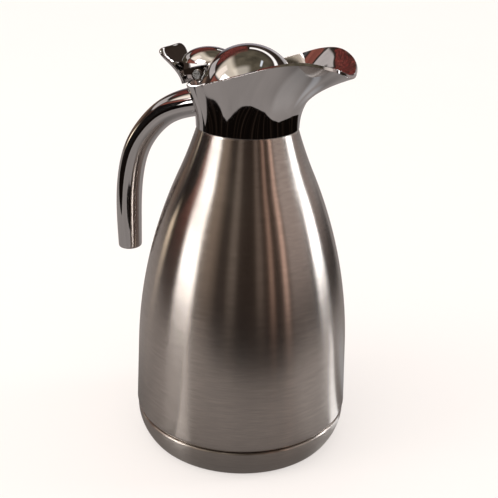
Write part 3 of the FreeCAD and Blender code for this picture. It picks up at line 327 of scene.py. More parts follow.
STEEL = brushed_round("brushed_steel_body", tint=(0.61, 0.55, 0.505), rough=0.235,
                      aniso=0.90, fine=2300.0, coarse=420.0, contrast=1.4)
RING_STEEL = brushed_round("brushed_steel_base", tint=(0.56, 0.51, 0.47), rough=0.29,
                           aniso=0.95, fine=2300.0, coarse=420.0, contrast=1.2)
FLASK = brushed_round("satin_flask_steel", tint=(0.64, 0.63, 0.61), rough=0.33,
                      aniso=0.7, fine=1500.0, coarse=300.0)
CHROME = mirror("chrome_plating", tint=(0.66, 0.635, 0.625))
CHROME_LID = mirror("chrome_plating_lid", tint=(0.68, 0.655, 0.645), rough=0.03, wave=0.10)
PLASTIC = moulded("black_polypropylene", tint=(0.020, 0.020, 0.022), rough=0.42)
SILICONE = silicone("clear_silicone", tint=(0.70, 0.68, 0.64))
SCREW = machined("bright_screw_steel", tint=(0.62, 0.61, 0.60), rough=0.20)
SPRING = machined("spring_wire", tint=(0.56, 0.55, 0.55), rough=0.28, lines=900.0)
SOLDER = solder("fused_seal")
GETTER = sintered("getter_metal")

# Material, then the CAD pieces that wear it.
FINISHES = [
    (STEEL, "outer_shell"),
    (RING_STEEL, "base_cup"),
    (FLASK, "inner_flask vacuum_base"),
    (SOLDER, "vacuum_seal_bead"),
    (GETTER, "getter_pill"),
    (SILICONE, "neck_gasket stopper_gasket stem_seal valve_gasket"),
    (PLASTIC, "threaded_sleeve stopper_body stopper_cap valve_disc"),
    (CHROME, "spout_collar handle_outer_shell handle_inner_cover"),
    (CHROME_LID, "lid_cover thumb_lever"),
    (SCREW, "handle_screws spring_washer dome_screws lever_pin pin_clip valve_stem stem_nut"),
    (SPRING, "lever_spring valve_spring"),
]
finish_of = {name: finish for finish, names in FINISHES for name in names.split()}
for name, obj in NODES.items():
    obj.data.materials.clear()
    obj.data.materials.append(finish_of[name])


# ------------------------------------------------------------------ mesh helpers
def piece(name, verts, faces, finish, body, stands_for, slot, sharp=32.0, bevel=None, segments=3):
    """A smooth-shaded piece, sharp above an angle in degrees, with its edges rounded if asked."""
    mesh = bpy.data.meshes.new(name)
    mesh.from_pydata([tuple(c * MM for c in v) for v in verts], [], faces)
    bm = bmesh.new()
    bm.from_mesh(mesh)
    bmesh.ops.remove_doubles(bm, verts=bm.verts, dist=1e-7)
    bmesh.ops.recalc_face_normals(bm, faces=bm.faces)
    bm.to_mesh(mesh)
    bm.free()
    mesh.shade_smooth()
    mesh.set_sharp_from_angle(angle=math.radians(sharp))
    mesh.materials.append(finish)
    obj = bpy.data.objects.new(name, mesh)
    bpy.context.scene.collection.objects.link(obj)
    if bevel:
        mod = obj.modifiers.new("edge_round", "BEVEL")
        mod.width = bevel * MM
        mod.segments = segments
        mod.limit_method = "ANGLE"
        mod.angle_limit = math.radians(sharp)
        mod.harden_normals = True
        mod.use_clamp_overlap = True
    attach(obj, body)
    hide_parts(stands_for)
    return obj


def arc(start, end, radius, side, steps):
    """Points strictly between the ends; side +1 has the centre on the left of start to end."""
    dx, dz = end[0] - start[0], end[1] - start[1]
    chord = math.hypot(dx, dz)
    height = math.sqrt(max(radius * radius - chord * chord / 4, 0.0))
    centre_x = (start[0] + end[0]) / 2 - side * height * dz / chord
    centre_z = (start[1] + end[1]) / 2 + side * height * dx / chord
    first = math.atan2(start[1] - centre_z, start[0] - centre_x)
    last = math.atan2(end[1] - centre_z, end[0] - centre_x)
    while last - first > math.pi:
        last -= 2 * math.pi
    while last - first < -math.pi:
        last += 2 * math.pi
    angles = [first + (last - first) * i / steps for i in range(1, steps)]
    return [(centre_x + radius * math.cos(a), centre_z + radius * math.sin(a)) for a in angles]


def line(start, end, steps):
    """Points strictly between the ends of a straight line."""
    return [(start[0] + (end[0] - start[0]) * i / steps,
             start[1] + (end[1] - start[1]) * i / steps) for i in range(1, steps)]


def bridge(one, two):
    """Quads between two closed rows of vertex numbers."""
    count = len(one)
    return [(one[k], one[(k + 1) % count], two[(k + 1) % count], two[k]) for k in range(count)]


def lathe(loop, segments=288):
    """Closed (r, z) loop turned about Z; points on the axis close the surface."""
    verts, faces, rows = [], [], []
    angles = [2 * math.pi * k / segments for k in range(segments)]
    for r, z in loop:
        if r < 1e-6:
            rows.append([len(verts)])
            verts.append((0.0, 0.0, z))
        else:
            rows.append(list(range(len(verts), len(verts) + segments)))
            verts += [(r * math.cos(a), r * math.sin(a), z) for a in angles]
    for one, two in zip(rows, rows[1:] + rows[:1]):
        if len(one) == 1 and len(two) == 1:
            continue
        if len(one) == 1:
            faces += [(one[0], two[(k + 1) % segments], two[k]) for k in range(segments)]
        elif len(two) == 1:
            faces += [(one[k], one[(k + 1) % segments], two[0]) for k in range(segments)]
        else:
            faces += bridge(one, two)
    return verts, faces


# ------------------------------------------------------------------ valve spring
# Drawn again as a coil of wire.
COIL_TURNS, COIL_STEPS, WIRE_SIDES = 6, 40, 12
COIL_RADIUS, WIRE_RADIUS = 7.5, 0.6


def valve_coil():
    (_, _, low), (_, _, high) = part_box("valve_spring")
    low, high = low / MM, high / MM
    verts, faces = [], []
    count = COIL_TURNS * COIL_STEPS
    rise = high - low - 2 * WIRE_RADIUS
    lean = math.atan2(rise, 2 * math.pi * COIL_RADIUS * COIL_TURNS)
    for i in range(count + 1):
        turn = 2 * math.pi * COIL_TURNS * i / count
        z = low + WIRE_RADIUS + rise * i / count
        for j in range(WIRE_SIDES):
            angle = 2 * math.pi * j / WIRE_SIDES
            radius = COIL_RADIUS + WIRE_RADIUS * math.cos(angle)
            up = WIRE_RADIUS * math.sin(angle)
            verts.append((radius * math.cos(turn) + up * math.sin(lean) * math.sin(turn),
                          radius * math.sin(turn) - up * math.sin(lean) * math.cos(turn),
                          z + up * math.cos(lean)))
    for i in range(count):
        one, two = i * WIRE_SIDES, (i + 1) * WIRE_SIDES
        for j in range(WIRE_SIDES):
            k = (j + 1) % WIRE_SIDES
            faces.append((one + j, two + j, two + k, one + k))
    faces.append(tuple(range(WIRE_SIDES)))
    faces.append(tuple(count * WIRE_SIDES + j for j in reversed(range(WIRE_SIDES))))
    coil = piece("valve_coil", verts, faces, SPRING, "lid", "valve_spring", "spring_steel")
    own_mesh(coil)


valve_coil()

# ------------------------------------------------------------------ steel shell and base ring
# Outlines are (r, z) points.
NECK_Z = 222.0
SHELL_WALL = 0.7
SHELL_EDGE = (72.62, 21.05)
BELLY_LOW = (74.45, 24.6)
BELLY_TOP = (72.6, 70.0)
SHOULDER = (44.52, 190.0)
BELLY_ARC, SHOULDER_ARC = 327.95, 287.0   # radii above the belly and above the shoulder
LIP_R, LIP_Z = 31.0, 226.0                # short upright lip above the neck

INNER_NECK = (31.98, NECK_Z - SHELL_WALL)
INNER_SHOULDER = (43.88, 189.72)
INNER_BELLY = (BELLY_TOP[0] - SHELL_WALL, 69.97)

SHELL = [
    (71.95, 20.8), (72.3, 20.86), SHELL_EDGE,
    *arc(SHELL_EDGE, BELLY_LOW, radius=4.68, side=1, steps=12), BELLY_LOW,
    *line(BELLY_LOW, BELLY_TOP, steps=10), BELLY_TOP,
    *arc(BELLY_TOP, SHOULDER, radius=BELLY_ARC, side=1, steps=40), SHOULDER,
    *arc(SHOULDER, (32.5, NECK_Z), radius=SHOULDER_ARC, side=-1, steps=16),
    (32.62, 221.7), (32.45, 221.95), (32.2, NECK_Z), (LIP_R, NECK_Z), (LIP_R, LIP_Z),
    # back down the inside
    (LIP_R - SHELL_WALL, LIP_Z), (LIP_R - SHELL_WALL, NECK_Z - SHELL_WALL), INNER_NECK,
    *arc(INNER_NECK, INNER_SHOULDER, radius=SHOULDER_ARC + SHELL_WALL, side=1, steps=14),
    INNER_SHOULDER,
    *arc(INNER_SHOULDER, INNER_BELLY, radius=BELLY_ARC - SHELL_WALL, side=-1, steps=30),
    INNER_BELLY, (BELLY_LOW[0] - SHELL_WALL, BELLY_LOW[1]), (71.55, 20.8),
]
piece("shell_brushed", *lathe(SHELL), STEEL, "jug", "outer_shell", "brushed_steel", sharp=30.0)

RING_ARC = 32.0                           # radius of the ring's bulging side
RING_FOOT, RING_SIDE = (67.86, 0.6), (73.9, 19.3)
RING_TOP = (72.9, 20.3)
INNER_SIDE, INNER_FOOT = (73.1, 19.2), (67.2, 1.3)

BASE_RING = [
    (0.0, 3.2), (30.0, 3.2), (55.3, 3.2), (55.9, 3.1), (56.5, 2.6), (58.0, 0.6), (58.6, 0.1),
    (59.1, 0.0), (66.6, 0.0), (67.15, 0.08), (67.55, 0.28), RING_FOOT,
    *arc(RING_FOOT, RING_SIDE, radius=RING_ARC, side=1, steps=22), RING_SIDE,
    *arc(RING_SIDE, RING_TOP, radius=1.0, side=1, steps=8), RING_TOP,
    (71.2, 20.3), (70.75, 20.3), (70.75, 23.2), (69.95, 23.2), (69.95, 19.5), INNER_SIDE,
    *arc(INNER_SIDE, INNER_FOOT, radius=RING_ARC, side=-1, steps=16), INNER_FOOT,
    (66.3, 0.8), (58.9, 0.8), (56.4, 4.0), (30.0, 4.0), (0.0, 4.0),
]
piece("base_ring_brushed", *lathe(BASE_RING), RING_STEEL, "jug", "base_cup", "brushed_steel",
      sharp=30.0)

# ------------------------------------------------------------------ collar with spout
# Half of the collar, from the spout (0 degrees) to the handle (180 degrees).
# Columns: angle at the neck, rim x, y and z, upright pull at the neck, pull at the rim,
# flare of the rim in degrees from upright.
COLLAR = [
    (0.0, 70.5, 0.0, 261.1, 19.0, 26.5, 67.5),
    (14.0, 65.2, 16.0, 266.8, 19.5, 26.0, 60.0),
    (30.0, 51.1, 28.2, 271.1, 20.0, 22.0, 42.0),
    (50.0, 33.7, 35.7, 269.0, 19.5, 17.0, 22.0),
    (70.0, 15.4, 37.6, 262.8, 18.0, 12.0, 12.0),
    (91.0, -1.9, 37.4, 256.9, 15.0, 10.0, 12.0),
    (116.0, -18.9, 34.5, 251.1, 12.0, 8.0, 14.0),
    (144.0, -31.9, 22.9, 248.5, 11.0, 7.0, 16.0),
    (180.0, -38.0, 0.0, 248.2, 10.0, 7.0, 17.0),
]
ANGLES, RIM_X, RIM_Y, RIM_Z, NECK_PULL, RIM_PULL, FLARE = [list(col) for col in zip(*COLLAR)]
COLLAR_FOOT_R = 33.3
COLLAR_WALL = 2.25
COLLAR_AROUND, COLLAR_UP = 320, 88
TANGENT_STEP = 0.5                        # degrees either way


def hermite(ys, x, start_slope=0.0, end_slope=0.0):
    """Smooth curve through one column of the collar at an angle."""
    xs = ANGLES
    inner = [(ys[i + 1] - ys[i - 1]) / (xs[i + 1] - xs[i - 1]) for i in range(1, len(xs) - 1)]
    slopes = [start_slope, *inner, end_slope]
    i = next(i for i in range(len(xs) - 1) if x <= xs[i + 1])
    step = xs[i + 1] - xs[i]
    u = (x - xs[i]) / step
    return ((2 * u ** 3 - 3 * u ** 2 + 1) * ys[i] + (u ** 3 - 2 * u ** 2 + u) * step * slopes[i]
            + (3 * u ** 2 - 2 * u ** 3) * ys[i + 1] + (u ** 3 - u ** 2) * step * slopes[i + 1])


def rim_at(angle):
    """Rim x and y; y crosses the middle plane at a slope, so its end slopes are not zero."""
    ys = RIM_Y
    start = (ys[1] - ys[0]) / (ANGLES[1] - ANGLES[0]) * 1.15
    end = (ys[-1] - ys[-2]) / (ANGLES[-1] - ANGLES[-2]) * 1.1
    return hermite(RIM_X, angle), hermite(ys, angle, start, end)


def collar_curve(degrees):
    """The four control points of the collar's side line at an angle round the neck."""
    signed = (degrees + 180.0) % 360.0 - 180.0
    angle = abs(signed)
    side = 1.0 if signed >= 0 else -1.0
    rim_x, rim_y = rim_at(angle)
    rim_z = hermite(RIM_Z, angle)
    pull = hermite(RIM_PULL, angle)
    flare = math.radians(hermite(FLARE, angle))
    turn = math.radians(angle)
    foot = Vector((COLLAR_FOOT_R * math.cos(turn), COLLAR_FOOT_R * math.sin(turn), NECK_Z))
    x0, y0 = rim_at(max(angle - TANGENT_STEP, 0.0))
    x1, y1 = rim_at(min(angle + TANGENT_STEP, 180.0))
    # The rim is mirrored across the middle plane.
    if angle < TANGENT_STEP:
        x0, y0 = x1, -y1
    if angle > 180.0 - TANGENT_STEP:
        x1, y1 = x0, -y0
    along_x, along_y = x1 - x0, y1 - y0
    length = math.hypot(along_x, along_y)
    out_x, out_y = along_y / length, -along_x / length
    above_foot = Vector((foot.x, foot.y, foot.z + hermite(NECK_PULL, angle)))
    below_rim = Vector((rim_x - pull * math.sin(flare) * out_x,
                        rim_y - pull * math.sin(flare) * out_y,
                        rim_z - pull * math.cos(flare)))
    rim = Vector((rim_x, rim_y, rim_z))
    return [Vector((p.x, side * p.y, p.z)) for p in (foot, above_foot, below_rim, rim)]


def bezier(points, s):
    q = 1.0 - s
    return (points[0] * q ** 3 + points[1] * (3 * q * q * s)
            + points[2] * (3 * q * s * s) + points[3] * s ** 3)


def spout_collar():
    outer = []
    for i in range(COLLAR_AROUND):
        curve = collar_curve(360.0 * i / COLLAR_AROUND)
        outer.append([bezier(curve, j / COLLAR_UP) for j in range(COLLAR_UP + 1)])
    verts, faces = [], []
    for i, column in enumerate(outer):
        inner = []
        for j, point in enumerate(column):
            up = column[min(j + 1, COLLAR_UP)] - column[max(j - 1, 0)]
            around = outer[(i + 1) % COLLAR_AROUND][j] - outer[i - 1][j]
            inside = point - around.cross(up).normalized() * COLLAR_WALL
            if j == 0:
                inside.z = NECK_Z
            inner.append(inside)
        verts += [tuple(p) for p in column + inner[::-1]]
    stride = 2 * (COLLAR_UP + 1)
    for i in range(COLLAR_AROUND):
        one, two = i * stride, ((i + 1) % COLLAR_AROUND) * stride
        for j in range(stride):
            k = (j + 1) % stride
            faces.append((one + j, two + j, two + k, one + k))
    piece("spout_collar_chrome", verts, faces, CHROME, "jug", "spout_collar", "chrome",
          sharp=40.0, bevel=0.62, segments=4)


spout_collar()

# ------------------------------------------------------------------ handle
# Stations from the collar down. Columns: x, z, half depth away from the jug, half width in y.
HANDLE = [
    (-28.5, 235.0, 9.9, 12.6), (-46.0, 229.9, 9.4, 11.8), (-62.3, 221.8, 8.8, 10.8),
    (-75.5, 209.6, 8.5, 10.1), (-85.6, 194.8, 8.6, 9.8), (-91.5, 177.5, 8.75, 9.65),
    (-94.3, 158.0, 8.85, 9.5), (-94.9, 137.0, 8.7, 9.2), (-94.7, 116.9, 8.2, 8.7),
]
HANDLE_STEPS = 110
SECTION_STEPS, PARTING_STEPS = 44, 10
PARTING = -4.7                            # where the halves meet, from the centre line outward
END_ROUND = 1.5                           # rounding of the lower end


def natural(ts, ys):
    """Second derivatives at the stations of a cubic spline with free ends."""
    n = len(ts)
    below, diagonal, above, right = [0.0] * n, [1.0] * n, [0.0] * n, [0.0] * n
    for i in range(1, n - 1):
        h0, h1 = ts[i] - ts[i - 1], ts[i + 1] - ts[i]
        below[i], diagonal[i], above[i] = h0, 2 * (h0 + h1), h1
        right[i] = 6 * ((ys[i + 1] - ys[i]) / h1 - (ys[i] - ys[i - 1]) / h0)
    for i in range(1, n):
        factor = below[i] / diagonal[i - 1]
        diagonal[i] -= factor * above[i - 1]
        right[i] -= factor * right[i - 1]
    bends = [0.0] * n
    bends[-1] = right[-1] / diagonal[-1]
    for i in range(n - 2, -1, -1):
        bends[i] = (right[i] - above[i] * bends[i + 1]) / diagonal[i]
    return bends


handle_ts = [0.0]
for one, two in zip(HANDLE, HANDLE[1:]):
    handle_ts.append(handle_ts[-1] + math.hypot(two[0] - one[0], two[1] - one[1]))
handle_columns = [(col, natural(handle_ts, col)) for col in zip(*HANDLE)]
handle_length = handle_ts[-1]
collar_back = [bezier(collar_curve(180.0), j / 60.0) for j in range(61)]


def handle_at(t):
    """x, z, half depth and half width at a distance along the handle."""
    ts = handle_ts
    i = 0
    while i < len(ts) - 2 and t > ts[i + 1]:
        i += 1
    h = ts[i + 1] - ts[i]
    a, b = (ts[i + 1] - t) / h, (t - ts[i]) / h
    return [a * ys[i] + b * ys[i + 1]
            + ((a ** 3 - a) * bends[i] + (b ** 3 - b) * bends[i + 1]) * h * h / 6
            for ys, bends in handle_columns]


def collar_mid(z):
    """Radius within the collar's wall on the handle side, at a height."""
    if z <= NECK_Z:
        return 32.4
    for one, two in zip(collar_back, collar_back[1:]):
        if one.z <= z <= two.z:
            return -one.x - 1.0
    return 37.0


def handle_section(t, pole):
    """Closed row of points round one half of the handle."""
    x, z, depth, width = handle_at(t)
    x0, z0 = handle_at(max(t - 0.05, 0.0))[:2]
    x1, z1 = handle_at(min(t + 0.05, handle_length))[:2]
    along_x, along_z = x1 - x0, z1 - z0
    length = math.hypot(along_x, along_z)
    out_x, out_z = along_z / length, -along_x / length
    if out_x > 0:
        out_x, out_z = -out_x, -out_z
    round_start = handle_length - END_ROUND
    if t > round_start:
        q = (t - round_start) / END_ROUND
        inset = END_ROUND * (1.0 - math.sqrt(max(1.0 - q * q, 0.0))) * 0.8
        depth, width = depth - inset, width - inset
    first = math.asin(PARTING / depth)
    angles = [first + (pole - first) * i / SECTION_STEPS for i in range(SECTION_STEPS + 1)]
    half = [(width * math.cos(a), depth * math.sin(a)) for a in angles]
    edge_y, edge_out = half[0]
    loop = half + [(-y, out) for y, out in reversed(half[:-1])]
    loop += [(-edge_y + 2 * edge_y * i / PARTING_STEPS, edge_out)
             for i in range(1, PARTING_STEPS)]
    row = []
    for y, out in loop:
        px, pz = x + out_x * out, z + out_z * out
        if pz > 200.0 and t < handle_length * 0.3:
            limit = collar_mid(pz)
            if math.hypot(px, y) < limit:
                # Move along -X until the point sits in the collar's wall.
                px = -math.sqrt(limit * limit - y * y)
        row.append((px, y, pz))
    return row


def handle_half(name, pole, stands_for):
    """One half of the handle; pole is the section angle at its crown."""
    stations = [handle_length * i / HANDLE_STEPS for i in range(HANDLE_STEPS)]
    stations += [handle_length - END_ROUND * (1 - math.sin(math.radians(a)))
                 for a in (15, 35, 55, 75)]
    stations.append(handle_length)
    verts, faces, rings = [], [], []
    for t in sorted(stations):
        row = handle_section(t, pole)
        rings.append(range(len(verts), len(verts) + len(row)))
        verts += row
    for one, two in zip(rings, rings[1:]):
        faces += bridge(one, two)
    faces.append(tuple(reversed(rings[0])))
    faces.append(tuple(rings[-1]))
    piece(name, verts, faces, CHROME, "jug", stands_for, "chrome", sharp=38.0, bevel=0.38)


handle_half("handle_outer_chrome", math.pi / 2, "handle_outer_shell")
handle_half("handle_inner_chrome", -math.pi / 2, "handle_inner_cover")

# ------------------------------------------------------------------ stage
# Bearings on the stage are degrees from the camera's side of the jug, positive to its right.
VIEW_TURN = 28.0                          # the view's turn about Z, away from looking along +Y
CAM_AZ = VIEW_TURN - 90.0
CAM_COS, CAM_SIN = math.cos(math.radians(CAM_AZ)), math.sin(math.radians(CAM_AZ))
PALE = (1.0, 0.955, 0.925)
scene = bpy.context.scene


def pale_floor():
    finish, net, coord = bare_material("pale_floor")
    tone = net.noise(coord, scale=3.0, detail=3.0, rough=0.5)
    colour = net.scale(PALE, tone.remap((0.0, 1.0), to=(0.93, 0.96)))
    lit = net.node("ShaderNodeBsdfDiffuse", {"Color": colour})
    glow = net.node("ShaderNodeEmission", {"Color": PALE})
    mixer = net.node("ShaderNodeMixShader", {0: 0.55, 1: lit.outputs[0], 2: glow.outputs[0]})
    net.surface(mixer.outputs[0])

    mesh = bpy.data.meshes.new("floor")
    bm = bmesh.new()
    bmesh.ops.create_grid(bm, x_segments=12, y_segments=12, size=14.0)
    bm.to_mesh(mesh)
    bm.free()
    floor = bpy.data.objects.new("floor", mesh)
    floor.location.z = -0.0002
    mesh.materials.append(finish)
    scene.collection.objects.link(floor)
    floor.visible_glossy = False


def reflected_card(name, corners, finish, z=0.0):
    """A flat card that only reflections see."""
    mesh = bpy.data.meshes.new(name)
    mesh.from_pydata(corners, [], [tuple(range(len(corners)))])
    card = bpy.data.objects.new(name, mesh)
    card.location.z = z
    mesh.materials.append(finish)
    scene.collection.objects.link(card)
    card.visible_camera = False
    card.visible_diffuse = False
    card.visible_shadow = False
    card.visible_transmission = False


# Corners of the table card: bearing, distance from the jug's axis.
TABLE_EDGE = [
    (-72.9, 0.410), (-64.4, 0.453), (-62.2, 0.487), (-55.0, 0.552), (-46.8, 0.573),
    (-40.6, 0.505), (-32.3, 0.402), (-24.3, 0.328), (-13.0, 0.276), (-1.2, 0.251),
    (15.0, 0.234), (31.4, 0.233), (43.0, 0.262), (54.8, 0.306), (69.7, 0.353), (83.7, 0.336),
    (107.4, 0.351), (134.1, 0.421), (147.7, 0.537), (166.6, 0.795), (180.0, 1.1),
    (-160.0, 1.3), (-122.0, 1.5), (-113.0, 0.80), (-103.5, 0.60), (-96.0, 0.52),
    (-87.0, 0.462), (-78.0, 0.424),
]


def table_card():
    """A grey table; it ends in corners, so polished metal shows its edge."""
    finish, net, coord = bare_material("reflected_table")
    tone = net.noise(coord, scale=5.0, detail=3.0, rough=0.5)
    reach = net.length(coord)
    # Painted shadow of the jug: the table card darkens toward the jug's foot, to about half.
    shade = reach.remap((0.07, 0.21), to=(0.52, 1.0), smooth=True)
    x, y, _ = net.split(coord)
    bearing = net.math("ARCTAN2", y, x) * DEGREES
    near = reach.fall(0.17, 0.30)

    def sheen(colour, centre, half, soft):
        """Window light spread on the table round one bearing."""
        turn = abs(bearing - (CAM_AZ + centre))
        turn = net.math("MINIMUM", turn, 360.0 - turn)
        return net.scale(colour, turn.fall(half - soft, half + soft) * near)

    grey = net.total([
        net.scale((0.335, 0.308, 0.296), shade * tone.remap((0.25, 0.75), to=(0.88, 1.12))),
        sheen((0.04, 0.038, 0.036), centre=-70.0, half=16.0, soft=10.0),
        sheen((0.10, 0.10, 0.10), centre=72.0, half=22.0, soft=12.0),
        sheen((0.16, 0.18, 0.20), centre=119.0, half=9.0, soft=6.0),
    ])
    net.surface(net.node("ShaderNodeEmission", {"Color": grey}).outputs[0])
    corners = []
    for bearing_deg, distance in TABLE_EDGE:
        angle = math.radians(CAM_AZ + bearing_deg)
        corners.append((distance * math.cos(angle), distance * math.sin(angle), 0.0))
    reflected_card("table_card", corners, finish, z=-0.0006)


def on_table(near, right):
    """A point just above the table, toward the camera and to its right."""
    return Vector((near * CAM_COS - right * CAM_SIN, near * CAM_SIN + right * CAM_COS, 0.001))


def streak(name, start, end, width, colour, radiance, receivers):
    """A strip of light lying on the table and facing up, which only the receivers show."""
    start, end = on_table(*start), on_table(*end)
    data = bpy.data.lights.new(name, "AREA")
    data.shape = "RECTANGLE"
    data.size = (end - start).length
    data.size_y = width
    data.color = colour
    data.energy = radiance * math.pi * data.size * data.size_y
    obj = bpy.data.objects.new(name, data)
    along = (end - start).normalized()
    up = Vector((0, 0, 1))
    placed = Matrix((along, along.cross(up), -up)).transposed().to_4x4()
    placed.translation = (start + end) / 2
    obj.matrix_world = placed
    scene.collection.objects.link(obj)
    obj.visible_camera = False
    obj.visible_diffuse = False
    obj.light_linking.receiver_collection = receivers


def table_streaks():
    """The streaks down the sides of the brushed body."""
    brushed = bpy.data.collections.new("streak_receivers")
    for name in ("shell_brushed", "base_ring_brushed"):
        brushed.objects.link(bpy.data.objects[name])
    streak("table_streak_right", start=(0.016, 0.082), end=(-0.052, 0.270), width=0.023,
           colour=(0.93, 0.97, 1.0), radiance=1.10, receivers=brushed)
    streak("table_streak_left", start=(0.072, -0.058), end=(0.179, -0.250), width=0.022,
           colour=(1.0, 0.98, 0.95), radiance=0.27, receivers=brushed)


# Corners of the dark flag: distance along it, height.
FLAG_CORNERS = [(-0.045, 0.150), (0.038, 0.212), (0.038, 0.262), (-0.045, 0.266)]


def dark_flag():
    """An upright dark card beside the handle, which gives its upper side a dark band."""
    finish, net, coord = bare_material("dark_flag")
    cloud = net.noise(coord, scale=60.0, detail=3.0, rough=0.5)
    colour = net.scale((0.020, 0.017, 0.016), cloud)
    net.surface(net.node("ShaderNodeEmission", {"Color": colour}).outputs[0])
    away, along = Vector((-0.67, -0.74, 0.0)), Vector((0.74, -0.67, 0.0))
    middle = Vector((-0.084, 0.0, 0.0)) + away * 0.085
    corners = []
    for distance, z in FLAG_CORNERS:
        corner = middle + along * distance
        corners.append((corner.x, corner.y, z))
    reflected_card("dark_flag", corners, finish)


pale_floor()
table_card()
table_streaks()
dark_flag()


# ------------------------------------------------------------------ world
def studio_colour(net):
    """A plain studio of cards and soft boxes, for reflections."""
    direction = net.node("ShaderNodeTexCoord").outputs["Generated"]
    x, y, z = net.split(direction)
    near = x * CAM_COS + y * CAM_SIN
    right = x * -CAM_SIN + y * CAM_COS
    turn = net.math("ARCTAN2", right, near) * DEGREES
    elev = net.math("ARCSINE", z) * DEGREES

    above = elev.rise(-9.0, 1.0)
    walls = above * elev.fall(38.0, 52.0)
    # Soft boxes: barred every 4.6 degrees, with a gap across their middle.
    bars = net.math("SINE", elev * (2.0 * math.pi / 4.6))
    bars = bars.remap((0.50, 0.68), to=(1.0, 0.02), smooth=True)
    boxes = above * elev.fall(34.0, 42.0) * abs(elev - 14.5).rise(6.0, 8.0) * bars
    gap = elev.band(14.5, half=6.5, soft=1.2)
    room = net.noise(direction, scale=2.2, detail=3.0, rough=0.55)
    cloth = net.noise(direction, scale=17.0, detail=6.0, rough=0.7, distort=1.8)
    # Dark red hanging beyond the jug on the left, narrower in its lower part.
    hanging = (elev.rise(27.5, 29.5) * turn.band(-152.0, half=25.0, soft=2.0)
               + elev.fall(27.5, 29.5) * elev.rise(20.0, 22.0)
               * turn.band(-160.0, half=12.0, soft=2.0))
    hanging = (hanging * elev.fall(52.0, 58.0)
               * elev.remap((40.0, 46.0), to=(1.0, 0.6), smooth=True))
    # Panels overhead, placed on a flat ceiling at height 1.
    level = net.math("MAXIMUM", z, 0.05)
    ceiling_right = right / level
    level = net.math("MAXIMUM", z, 0.05)
    ceiling_near = near / level
    overhead = z.rise(0.28, 0.36)

    # Columns: colour, strength, mask.
    lights = [
        # room tone
        ((0.042, 0.030, 0.024), 1.0, room.remap((0.3, 0.7), to=(0.4, 1.4))),
        # walls: two on the right beyond the jug, left, right, and straight beyond it
        ((0.50, 0.48, 0.48), 1.0,
         above * elev.fall(13.0, 19.0) * turn.band(150.0, half=19.0, soft=6.0)),
        ((0.36, 0.32, 0.31), 1.0,
         above * elev.fall(16.0, 22.0) * turn.band(121.0, half=9.0, soft=4.0)),
        ((0.24, 0.19, 0.15), 1.0, walls * turn.band(-46.0, half=10.0, soft=8.0)),
        ((0.40, 0.345, 0.325), 1.0, walls * turn.band(71.0, half=15.0, soft=4.0)),
        ((0.34, 0.32, 0.36), 1.0,
         above * elev.fall(14.0, 24.0) * abs(turn).band(176.0, half=10.0, soft=8.0)),
        # the hanging, its green flecks, and a brown foot below it
        ((0.150, 0.014, 0.014), 1.0, hanging * cloth.remap((0.42, 0.60), to=(0.15, 1.6))),
        ((0.055, 0.060, 0.035), 1.0, hanging * cloth.rise(0.57, 0.64)),
        ((0.16, 0.10, 0.07), 1.0,
         above * elev.fall(4.0, 12.0) * turn.band(-146.0, half=18.0, soft=6.0)),
        # two pale cards and a red brown edge beside the hanging
        ((0.50, 0.45, 0.43), 1.0,
         elev.band(37.0, half=12.0, soft=2.0) * turn.band(-96.0, half=10.0, soft=3.0)),
        ((0.60, 0.565, 0.555), 1.0,
         elev.rise(13.0, 15.0) * elev.fall(25.0, 27.0)
         * turn.band(-129.0, half=16.5, soft=1.5) * room.remap((0.3, 0.7), to=(0.8, 1.15))),
        ((0.25, 0.070, 0.052), 1.0,
         elev.rise(8.0, 10.0) * elev.fall(22.0, 24.0)
         * (turn.band(-93.0, half=14.0, soft=1.5) * cloth.remap((0.36, 0.64), to=(0.45, 1.5)))),
        # tall soft boxes left and right, with a low warm light between their rows
        ((1.0, 0.985, 0.97), 7.6, boxes * turn.band(-70.0, half=12.0, soft=3.0)),
        ((1.0, 0.86, 0.66), 2.6,
         above * elev.fall(0.0, 6.0) * turn.band(-115.0, half=4.0, soft=2.5)),
        ((0.96, 0.975, 1.0), 11.0, boxes * turn.band(101.5, half=8.5, soft=3.0)),
        # narrow warm uprights on the camera's side
        ((1.0, 0.70, 0.58), 1.1, walls * turn.band(50.0, half=2.6, soft=1.8)),
        ((1.0, 0.66, 0.52), 0.55, walls * turn.band(33.0, half=2.2, soft=1.6)),
        ((1.0, 0.86, 0.74), 0.16, walls * turn.band(-14.0, half=5.0, soft=4.0)),
        ((1.0, 0.80, 0.68), 0.16, walls * turn.band(19.0, half=4.0, soft=3.0)),
        # tan, green grey and dark segments in the gap of the left soft box
        ((0.42, 0.37, 0.29), 1.0, gap * turn.band(-60.5, half=3.2, soft=1.0)),
        ((0.10, 0.16, 0.14), 1.0, gap * turn.band(-67.0, half=1.2, soft=0.8)),
        ((0.05, 0.06, 0.07), 1.0, gap * turn.band(-73.0, half=3.0, soft=0.8)),
        # white strip light high beyond the jug on the right, and an olive ceiling
        ((1.0, 0.98, 0.97), 1.5,
         elev.band(40.0, half=3.6, soft=1.6) * turn.band(150.0, half=42.0, soft=4.0)),
        ((0.075, 0.070, 0.048), 1.0,
         elev.rise(44.0, 58.0) * room.remap((0.3, 0.7), to=(0.5, 1.5))),
    ]
